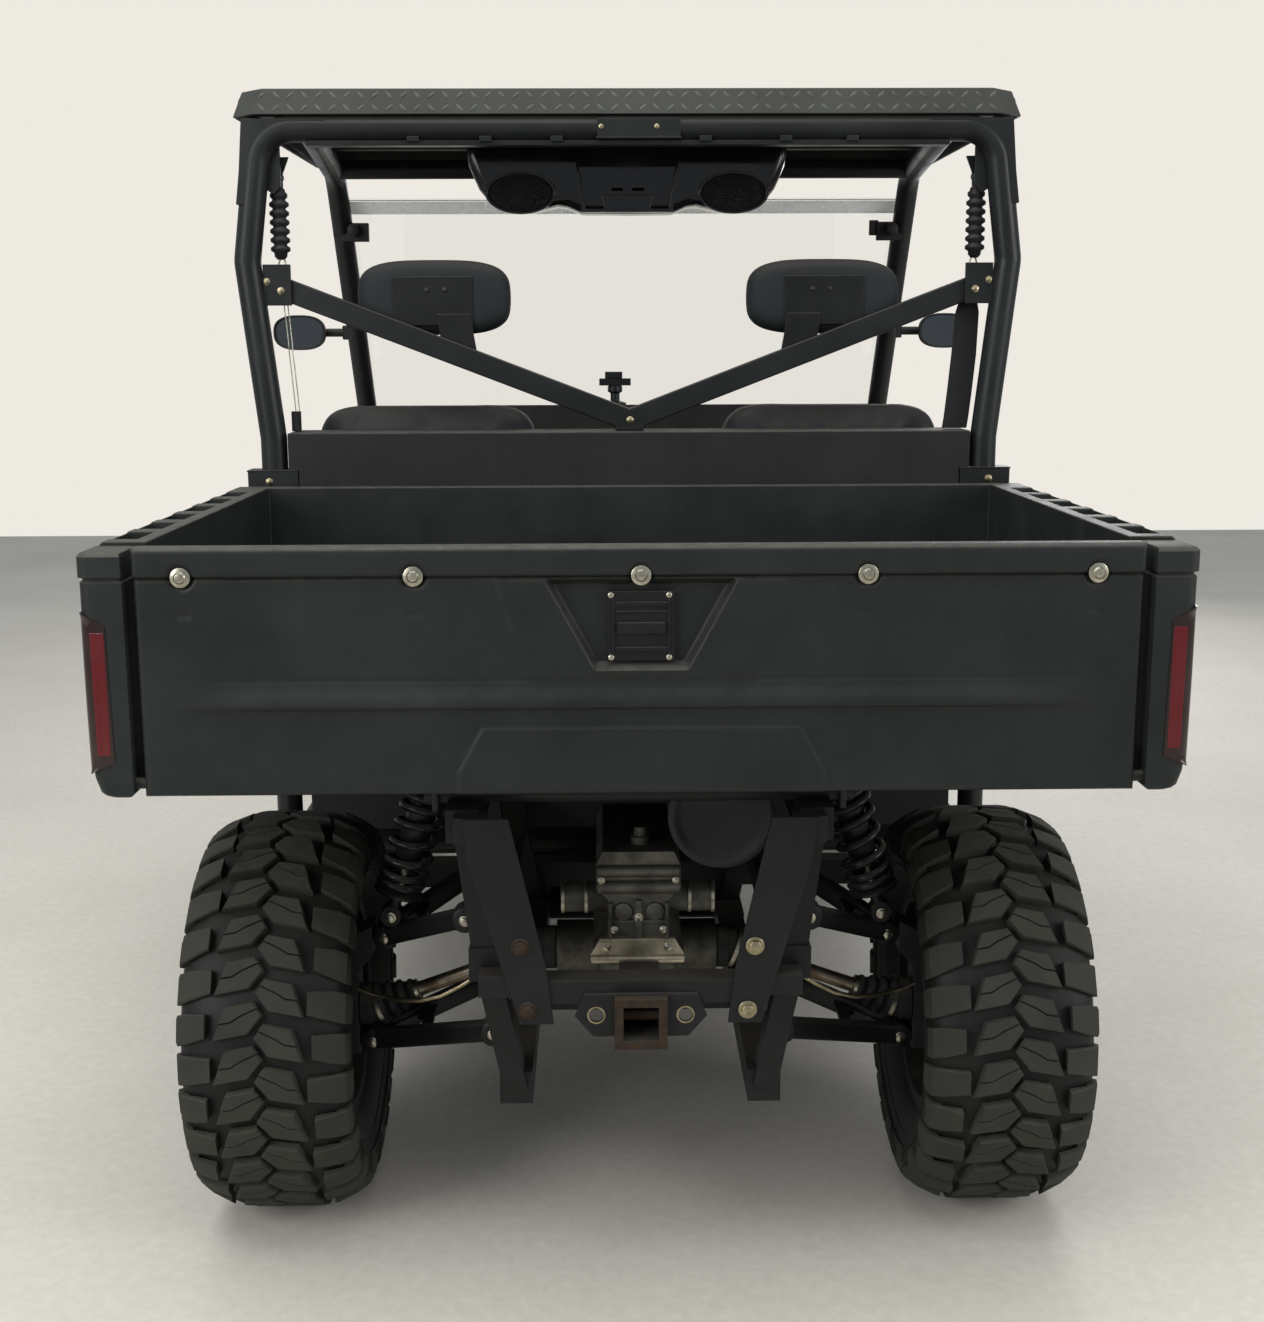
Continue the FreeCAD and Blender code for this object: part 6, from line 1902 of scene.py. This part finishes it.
@dataclass
class BeltHanger:
    """One belt hanger: hook bracket, folded boot, wire loop, line or webbing, and the buckle."""

    side: int
    middle: float = 0.662
    plane: float = -0.4305
    boot_ends: tuple = (1.737, 1.602)
    folds: int = 7
    root: float = 0.0125
    # Outline of the bracket as x and z
    hook: tuple = ((0.640, 1.79), (0.70, 1.79), (0.70, 1.765), (0.672, 1.755), (0.671, 1.735), (0.653, 1.735),
                   (0.652, 1.76))
    buckle: tuple = (1.316, 1.300, 1.285, 1.2785)
    # Place across, height and half width of the webbing's sections
    web: tuple = ((0.655, 1.552, 0.010), (0.652, 1.50, 0.0225), (0.648, 1.42, 0.024), (0.642, 1.35, 0.024),
                  (0.637, 1.30, 0.024), (0.634, 1.2788, 0.024))

    def spot(self, x: float, z: float, off: float = 0.0) -> Vector:
        """A place in the hanger's plane, x outward from the vehicle's middle."""
        return Vector((self.side * x, self.plane + off, z))

    def boot(self) -> Mesh:
        """The folded rubber boot.

        Returns:
            Its mesh.
        """
        top, low = (self.spot(self.middle, z) for z in self.boot_ends)
        length = (low - top).length
        step = (length - 0.02) / self.folds
        profile = [(0.0, 0.006), (0.006, 0.012)]
        for i in range(self.folds):
            start = 0.010 + step * i
            crest = 0.0185 if i else 0.0165
            profile += [(start, self.root), (start + 0.25 * step, crest), (start + 0.6 * step, crest),
                        (start + 0.85 * step, self.root)]
        profile += [(length - 0.006, 0.012), (length, 0.007)]
        bm = bmesh.new()
        turned(bm, top, low - top, profile, 28)
        return bm

    def loop(self) -> Mesh:
        """The wire loop below the boot.

        Returns:
            Its mesh.
        """
        bm = bmesh.new()
        turns = [2 * math.pi * i / 24 for i in range(25)]
        tube(bm, [self.spot(self.middle - 2 * MM + 7.5 * MM * math.sin(a), 1.585 + 20 * MM * math.cos(a))
                  for a in turns], 1.7 * MM, 8)
        return bm

    def lines(self, bm: Mesh) -> None:
        """Two thin lines from the loop down to the buckle.

        Args:
            bm: the mesh.
        """
        for shift in (-3.5 * MM, 3.5 * MM):
            path = []
            for i in range(8):
                share = i / 7
                x = self.middle - 2 * MM + shift * (0.3 if i == 0 else 1.0) - 0.018 * share
                path.append(self.spot(x, 1.566 - 0.253 * share, 1 * MM * math.sin(i * 1.9 + shift * 900)))
            tube(bm, path, 1.2 * MM, 8)

    def webbing(self, bm: Mesh) -> None:
        """The flat webbing that hangs from the loop.

        Args:
            bm: the mesh.
        """
        half, bow = 1.4 * MM, 0.8 * MM
        section = ((-1, -half), (0, -half - bow), (1, -half), (1, half), (0, half - bow), (-1, half))
        ring_strip(bm, [[self.spot(x + wide * a, z, off) for a, off in section] for x, z, wide in self.web])

    def build(self) -> None:
        """Makes bracket, boot, loop and webbing."""
        name = hand(self.side)
        node = ("seat_belts",)
        piece("belt_boot_" + name, self.boot(), BOOT_RUBBER, node, Rounding(crisp_deg=75))
        steel = bmesh.new()
        prism(steel, [self.spot(x, z, -3 * MM) for x, z in self.hook], Y * (6 * MM))
        turned(steel, self.spot(self.middle, 1.748), Z, [(-0.016, 0.008), (0.0, 0.008), (0.0, 0.0125),
                                                        (0.008, 0.0125)], 6)
        piece("belt_bracket_" + name, steel, FRAME_COAT, node, Rounding(0.8, 2, 40))
        wire = self.loop()
        web = bmesh.new()
        if self.side < 0:
            self.lines(wire)
            beam(web, [self.spot(0.6455, z) for z in self.buckle], 0.017, 0.03, 3.0)
        else:
            self.webbing(web)
        piece("belt_loop_" + name, wire, ZINC, node, Rounding(crisp_deg=60))
        piece("belt_webbing_" + name, web, WEBBING, node, Rounding(crisp_deg=50))


@dataclass
class Mirror:
    """One side mirror: rounded shell, glass that looks back, and its clamp arm."""

    side: int
    low: float = 1.427
    top: float = 1.516
    middle: float = 0.8295
    half: float = 0.0672
    depth: float = 0.046
    power: float = 2.6
    # Distance from the rear edge and share of the outline of each ring
    shell: tuple = ((0.006, 0.90), (0.001, 0.92), (0.0005, 0.97), (0.004, 1.0), (0.014, 0.99), (0.028, 0.90),
                    (0.040, 0.70), (0.045, 0.40))
    glass: tuple = ((0.0062, 0.89), (0.0050, 0.885), (0.0046, 0.6))
    # Place of the clamp on the front pillar as x and y
    pillar: tuple = (0.7105, 0.698)

    def oval(self, place: float, share: float) -> list[Vector]:
        """One ring of the shell or glass.

        Args:
            place: distance forward of the shell's rear edge.
            share: size as a share of the outline.

        Returns:
            Its points in order.
        """
        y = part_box("mirrors")[1].y - self.depth + place
        half_z = (self.top - self.low) / 2 - 0.3 * MM
        ring = []
        for i in range(40):
            x, z = rounded(2 * math.pi * i / 40, self.power)
            ring.append(Vector((self.side * self.middle + self.half * share * x, y,
                                (self.low + self.top) / 2 + half_z * share * z)))
        return ring

    def build(self) -> None:
        """Makes shell, glass and arm."""
        node = ("mirrors",)
        bm = bmesh.new()
        ring_strip(bm, [self.oval(place, share) for place, share in self.shell])
        foot = Vector((self.side * self.pillar[0], self.pillar[1], (self.low + self.top) / 2))
        tube(bm, [foot + X * (self.side * reach) for reach in (0.0, 0.03, 0.075)], 0.0105, 20)
        bushing(bm, foot, Z, 0.018, 0.0145, 2.5 * MM, sides=24)
        piece("mirror_shell_" + hand(self.side), bm, TRIM_PLASTIC, node,
              Rounding(crisp_deg=45))
        glass = bmesh.new()
        ring_strip(glass, [self.oval(place, share) for place, share in self.glass])
        # The glass's darkened grey is painted shade that stands in for its dim reflection
        piece("mirror_glass_" + hand(self.side), glass, MIRROR_GLASS_PAINTED_SHADE, node,
              Rounding(crisp_deg=60))


@dataclass
class Screen:
    """What the windshield carries: its stiff top strip and the two clamps with their knobs."""

    # Place of a clamp, and its knob's profile as distance and radius
    clamp: tuple = (0.655, 0.498, 1.71)
    knob: tuple = ((0, 0.008), (0.010, 0.008), (0.011, 0.015), (0.022, 0.015), (0.024, 0.012))
    half: float = 0.686
    deep: float = 0.034
    edge_y: float = 0.4918
    rise: float = 0.643
    run: float = 0.46

    def build(self) -> None:
        """Makes clamps and strip."""
        bm = bmesh.new()
        for side in SIDES:
            x, y, z = side * self.clamp[0], self.clamp[1], self.clamp[2]
            block(bm, (x - 0.034, y - 0.012, z - 0.022), (x + 0.034, y + 0.008, z + 0.022))
            block(bm, (x - 0.052, y - 0.006, z - 0.010), (x - 0.030, y + 0.004, z + 0.026))
            turned(bm, Vector((x, y - 0.012, z + 0.004)), -Y, self.knob, 16)
        along = Vector((0, -self.run, self.rise)).normalized()
        out = Vector((0, self.rise, self.run)).normalized()
        top = Vector((0, self.edge_y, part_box("windshield")[1].z - 8 * MM))
        strip = bmesh.new()
        corners = ((-self.half, -self.deep), (self.half, -self.deep), (self.half, 0.0), (-self.half, 0.0))
        prism(strip, [top + X * x + along * a - out * (2.2 * MM) for x, a in corners], out * (1 * MM))
        piece("screen_strip", strip, CLEAR_EDGE, (), Rounding(crisp_deg=40))
        piece("screen_clamps", bm, TRIM_PLASTIC, (), Rounding(1.5, 2, 40))


@dataclass
class Seat:
    """One seat: a padded cushion and a padded back."""

    side: int
    inner: float = 0.165
    outer: float = 0.640
    # How far the back leans for each metre up
    lean: float = 0.1763
    base: float = 0.7905
    thick: float = 0.105
    back_front: float = -0.3657 + 0.487 * 0.1763 + 0.105
    voxel: float = 0.009
    frames: int = 15
    pressure: float = 4.0
    cap: float = 0.012
    slack: float = 0.006

    def settle(self, made: bpy.types.Object, low: Vector, high: Vector) -> None:
        """Fills a pad like a sewn cover over foam, by cloth under pressure.

        Args:
            made: the pad, modelled a little small.
            low: lowest corner that it may reach.
            high: highest corner that it may reach.
        """
        remesh = made.modifiers.new("even", "REMESH")
        remesh.mode = "VOXEL"
        remesh.voxel_size = self.voxel
        depsgraph = bpy.context.evaluated_depsgraph_get()
        mesh = bpy.data.meshes.new_from_object(made.evaluated_get(depsgraph))
        made.modifiers.clear()
        made.data = mesh
        before = np.empty(len(mesh.vertices) * 3)
        mesh.vertices.foreach_get("co", before)
        cloth = made.modifiers.new("cover", "CLOTH")
        cloth.settings.use_pressure = True
        cloth.settings.uniform_pressure_force = self.pressure
        cloth.settings.effector_weights.gravity = 0.0
        cloth.settings.quality = 4
        scene = bpy.context.scene
        for number in range(1, self.frames + 1):
            scene.frame_set(number)
        depsgraph = bpy.context.evaluated_depsgraph_get()
        after = np.empty_like(before)
        made.evaluated_get(depsgraph).data.vertices.foreach_get("co", after)
        made.modifiers.clear()
        scene.frame_set(1)
        move = (after - before).reshape(-1, 3)
        size = np.linalg.norm(move, axis=1, keepdims=True)
        move *= np.minimum(1.0, self.cap / np.maximum(size, 1e-9))
        new = np.clip(before.reshape(-1, 3) + move, np.array(low), np.array(high))
        mesh.vertices.foreach_set("co", new.ravel())
        mesh.update()
        weld_normals(made, 180)

    def pad(self, name: str, low: Vector, high: Vector, fill: float, shear: float = 0.0) -> None:
        """One sewn pad in its box; one that stands leans back by a shear.

        Args:
            name: the pad's name.
            low: lowest corner of its box.
            high: highest corner.
            fill: how tight it is; not used.
            shear: how far it leans back for each metre up.
        """
        inset = Vector((self.slack, self.slack, self.slack))
        lying = high.z - low.z < high.y - low.y
        squareness, steps = 7.0, 56
        if lying:
            bm = pillow(low.xzy + inset, high.xzy - inset, squareness, steps=steps)
        else:
            bm = pillow(low + inset, high - inset, squareness, steps=steps)
        for v in bm.verts:
            if lying:
                v.co = v.co.xzy
            else:
                v.co.y += shear * (low.z - v.co.z)
        made = piece(name, bm, SEAT_VINYL, ("seats",), Rounding(crisp_deg=180))
        reach_low = low.copy()
        if not lying:
            reach_low.y += shear * (low.z - high.z)
        self.settle(made, reach_low, high)
        smoother = made.modifiers.new("smooth", "SUBSURF")
        smoother.levels = smoother.render_levels = 1

    def build(self) -> None:
        """Makes cushion and back."""
        name = hand(self.side)
        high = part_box("seats")[1]
        near, far = sorted((self.side * self.inner, self.side * self.outer))
        front = self.back_front
        self.pad("seat_cushion_" + name, Vector((near, front + 1 * MM, self.base)),
                 Vector((far, high.y, self.base + self.thick)), 0.85)
        self.pad("seat_back_" + name, Vector((near, front - self.thick, self.base)),
                 Vector((far, front - 2 * MM, high.z)), 0.8, self.lean)


@dataclass
class DashMount:
    """The small device holder that stands on the dashboard."""

    foot: tuple = (-0.021, 0.70, 1.284)
    # Profile of its foot and stem as height and radius
    stem: tuple = ((0, 0.030), (0.006, 0.028), (0.010, 0.012), (0.030, 0.012), (0.034, 0.019), (0.048, 0.019),
                   (0.052, 0.012))

    def build(self) -> None:
        """Makes the holder."""
        bm = bmesh.new()
        turned(bm, Vector(self.foot), Z, self.stem, 24)
        block(bm, (-0.062, 0.684, 1.334), (0.020, 0.712, 1.352))
        block(bm, (-0.047, 0.680, 1.352), (-0.002, 0.716, 1.369))
        piece("dash_mount", bm, BLACK_BOLT, (), Rounding(1.5, 2, 40))


# Name, axle, and top and foot as x and z
SHOCKS = (("rear", -1.031, (0.330, 0.762), (0.410, 0.506)),
          ("front", 1.068, (0.2273, 0.782), (0.395, 0.5087)))
# Name, axle, inner pivot and outer end as x and z, apex, shock bar
WISHBONES = (("rear_upper", -0.989, (0.2793, 0.529), (0.425, 0.458), 0.014, None),
             ("rear_lower", -0.989, (0.2373, 0.333), (0.452, 0.272), 0.014, None),
             ("front_upper", 1.068, (0.2303, 0.505), (0.545, 0.4523), 0.0, (0.395, 0.4774)),
             ("front_lower", 1.068, (0.2373, 0.323), (0.545, 0.1997), 0.0, None))
# Name, axle, inner and outer end as x and z
HALF_SHAFTS = (("rear", -0.989, (0.1353, 0.430), (0.473, 0.331)),
               ("front", 1.068, (0.1083, 0.400), (0.500, 0.331)))


# Stage


@dataclass
class Camera:
    """The camera at the photograph's viewing angle."""

    place: tuple = (-0.047, -3.689, 1.448)
    down_deg: float = 10.92
    right_deg: float = 0.8845
    roll_deg: float = -0.211
    focal_px: float = 1659.5
    sensor_mm: float = 36.0

    def build(self) -> None:
        """Makes the camera and turns the scene to it."""
        data = bpy.data.cameras.new("camera")
        data.sensor_fit = "VERTICAL"
        data.sensor_height = self.sensor_mm
        data.lens = self.focal_px / IMAGE[1] * self.sensor_mm
        made = bpy.data.objects.new("camera", data)
        bpy.context.scene.collection.objects.link(made)
        yaw = Matrix.Rotation(-math.radians(self.right_deg), 4, "Z")
        pitch = Matrix.Rotation(math.radians(90 - self.down_deg), 4, "X")
        roll = Matrix.Rotation(math.radians(self.roll_deg), 4, "Z")
        made.matrix_world = Matrix.Translation(self.place) @ yaw @ pitch @ roll
        bpy.context.scene.camera = made


@dataclass
class Studio:
    """Plain pale floor, soft lamps and a white surround."""

    floor_half: float = 9.0
    floor_thick: float = 0.02
    target: tuple = (0, 0, 0.8)
    # Name, place, size and power
    lamps: tuple = (("overhead", (-0.6, -1.2, 4.6), 4.5, 190.0), ("rear_left", (-3.6, -4.2, 2.6), 2.6, 130.0),
                    ("rear_right", (4.2, -3.0, 2.4), 2.6, 110.0), ("front", (1.5, 5.0, 3.0), 3.0, 110.0))
    # Colour and strength of the surround as a light and as the camera sees it
    soft: tuple = ("e6ecf2", 0.55)
    white: tuple = ("eeeae2", 1.0)

    def lamp(self, name: str, place: Sequence[float], size: float, power: float) -> None:
        """A soft square lamp that looks at the vehicle's middle.

        Args:
            name: its name.
            place: where it stands.
            size: length of its side.
            power: its power in watts.
        """
        data = bpy.data.lights.new(name, "AREA")
        data.size = size
        data.energy = power
        made = bpy.data.objects.new(name, data)
        made.location = place
        made.rotation_euler = (Vector(self.target) - Vector(place)).to_track_quat("-Z", "Y").to_euler()
        made.visible_camera = False
        made.visible_transmission = False
        bpy.context.scene.collection.objects.link(made)

    def floor(self) -> None:
        """A smooth sealed concrete floor, pale and even."""
        bm = bmesh.new()
        half = self.floor_half
        block(bm, (-half, -half, -self.floor_thick), (half, half, 0.0))
        mesh = bpy.data.meshes.new("floor")
        bm.to_mesh(mesh)
        bm.free()
        made = bpy.data.objects.new("floor", mesh)
        bpy.context.scene.collection.objects.link(made)
        mesh.materials.append(CONCRETE.material())
        made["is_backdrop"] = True

    def surround(self) -> None:
        """A pale surround that lights the shadows, and shows white behind the vehicle."""
        world = bpy.data.worlds.new("surround")
        bpy.context.scene.world = world
        world.use_nodes = True
        tree = world.node_tree
        tree.nodes.clear()
        path = put(tree, "LightPath")
        seen = put(tree, "Math", {0: path.outputs["Is Camera Ray"], 1: path.outputs["Is Transmission Ray"]},
                   operation="MAXIMUM").outputs[0]
        soft, white = (put(tree, "Background", {"Color": linear(colour), "Strength": strength})
                       for colour, strength in (self.soft, self.white))
        mixed = put(tree, "MixShader", {0: seen, 1: soft.outputs[0], 2: white.outputs[0]})
        put(tree, "OutputWorld", {"Surface": mixed.outputs[0]})

    def build(self) -> None:
        """Makes floor, surround and lamps."""
        self.floor()
        self.surround()
        for row in self.lamps:
            self.lamp(*row)


# Assembly

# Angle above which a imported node's edge is softened or kept crisp
CRISP = math.radians(38)


def dress_node(node: str, finish: Finish | ClearFinish, bevel_mm: float) -> None:
    """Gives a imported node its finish, with softened edges.

    Args:
        node: the node's name.
        finish: its material.
        bevel_mm: width of the softened edges, or 0 where they stay crisp.
    """
    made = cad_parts[node]
    made.data.materials.clear()
    made.data.materials.append(finish.material())
    weld = made.modifiers.new("weld", "WELD")
    weld.merge_threshold = 0.02 * MM
    flat = made.modifiers.new("flat", "DECIMATE")
    flat.decimate_type = "DISSOLVE"
    flat.angle_limit = math.radians(1.0)
    if bevel_mm:
        bevel = made.modifiers.new("bevel", "BEVEL")
        bevel.width = bevel_mm * MM
        bevel.segments = 2
        bevel.limit_method = "ANGLE"
        bevel.angle_limit = CRISP
        bevel.use_clamp_overlap = False
    else:
        crisp = made.modifiers.new("crisp", "EDGE_SPLIT")
        crisp.split_angle = CRISP
    made.data.polygons.foreach_set("use_smooth", [True] * len(made.data.polygons))
    even = made.modifiers.new("even", "WEIGHTED_NORMAL")
    even.keep_sharp = True


# Node, finish and width of its softened edges in mm, for the nodes that no new piece stands for
NODE_FINISHES = [
    ("main_frame", FRAME_COAT, 0.0),
    ("hitch_frame", FRAME_COAT, 0.8),
    ("skid_plate", TRIM_PLASTIC, 1.5),
    ("floor_tub", TRIM_PLASTIC, 2.0),
    ("seat_base", TRIM_PLASTIC, 2.0),
    ("engine", CAST_ALUMINIUM, 4.0),
    # The transaxle takes the darker copy of the casting's finish
    ("transaxle", CAST_DARK, 1.0),
    ("rear_uprights", CAST_IRON, 2.0),
    ("front_gearcase", CAST_ALUMINIUM, 0.8),
    ("front_bumper", CAGE_COAT, 0.0),
    ("front_fenders", BODY_PLASTIC, 2.5),
    ("headlamps", CLEAR_SHEET, 3.0),
    ("hood", BODY_PLASTIC, 6.0),
    ("front_fascia", TRIM_PLASTIC, 2.0),
    ("dashboard", TRIM_PLASTIC, 3.0),
    ("steering_column", TRIM_PLASTIC, 1.0),
    ("rear_cab_panel", TRIM_PLASTIC, 3.0),
    ("rear_hoop", CAGE_COAT, 1.0),
    ("x_brace", CAGE_COAT, 3.0),
    ("cage_front", CAGE_COAT, 0.0),
    ("roof", TREAD_PLATE, 2.0),
    ("windshield", CLEAR_SHEET, 0.5),
    ("front_knuckle_left", CAST_IRON, 2.0),
    ("front_knuckle_right", CAST_IRON, 2.0),
    ("rim_front_left", WHEEL_PAINT, 1.0),
    ("rim_front_right", WHEEL_PAINT, 1.0),
    ("rim_rear_left", WHEEL_PAINT, 1.0),
    ("rim_rear_right", WHEEL_PAINT, 1.0),
    ("bed_box", BED_PLASTIC, 2.5),
    ("steering_wheel", BOOT_RUBBER, 0.0),
    ("steering_rack", DRAWN_STEEL, 0.0),
]


def main() -> None:
    """Builds the vehicle's looks in order."""
    logging.basicConfig(level=logging.INFO, format="%(message)s")
    Camera().build()
    Studio().build()
    for node, finish, bevel_mm in NODE_FINISHES:
        dress_node(node, finish, bevel_mm)
    for axle in ("front", "rear"):
        for side in SIDES:
            place = f"{axle}_{hand(side)}"
            Tyre(place, side).build()
            WheelTrim(place, side).build()
    Tailgate().build()
    for side in SIDES:
        RearCorner(side).build()
    Roof().build()
    Headrests().build()
    for name, axle, *ends in SHOCKS:
        for side in SIDES:
            CoilOver(f"{name}_{hand(side)}", *upright(ends, axle, side)).build()
    for side in SIDES:
        for name, *sizes in WISHBONES:
            Wishbone(f"{name}_{hand(side)}", side, *sizes).build()
        for name, *sizes in HALF_SHAFTS:
            HalfShaft(f"{name}_{hand(side)}", side, *sizes).build()
        BeltHanger(side).build()
        Mirror(side).build()
        Seat(side).build()
    RearDrive().build()
    CageTrim().build()
    Pod().build()
    Screen().build()
    DashMount().build()
    bpy.context.scene.view_settings.view_transform = "Standard"
    sizes = {"cad": [list(corner) for corner in CAD_BOX], "visual": [list(corner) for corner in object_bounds()]}


if __name__ == "__main__":
    main()
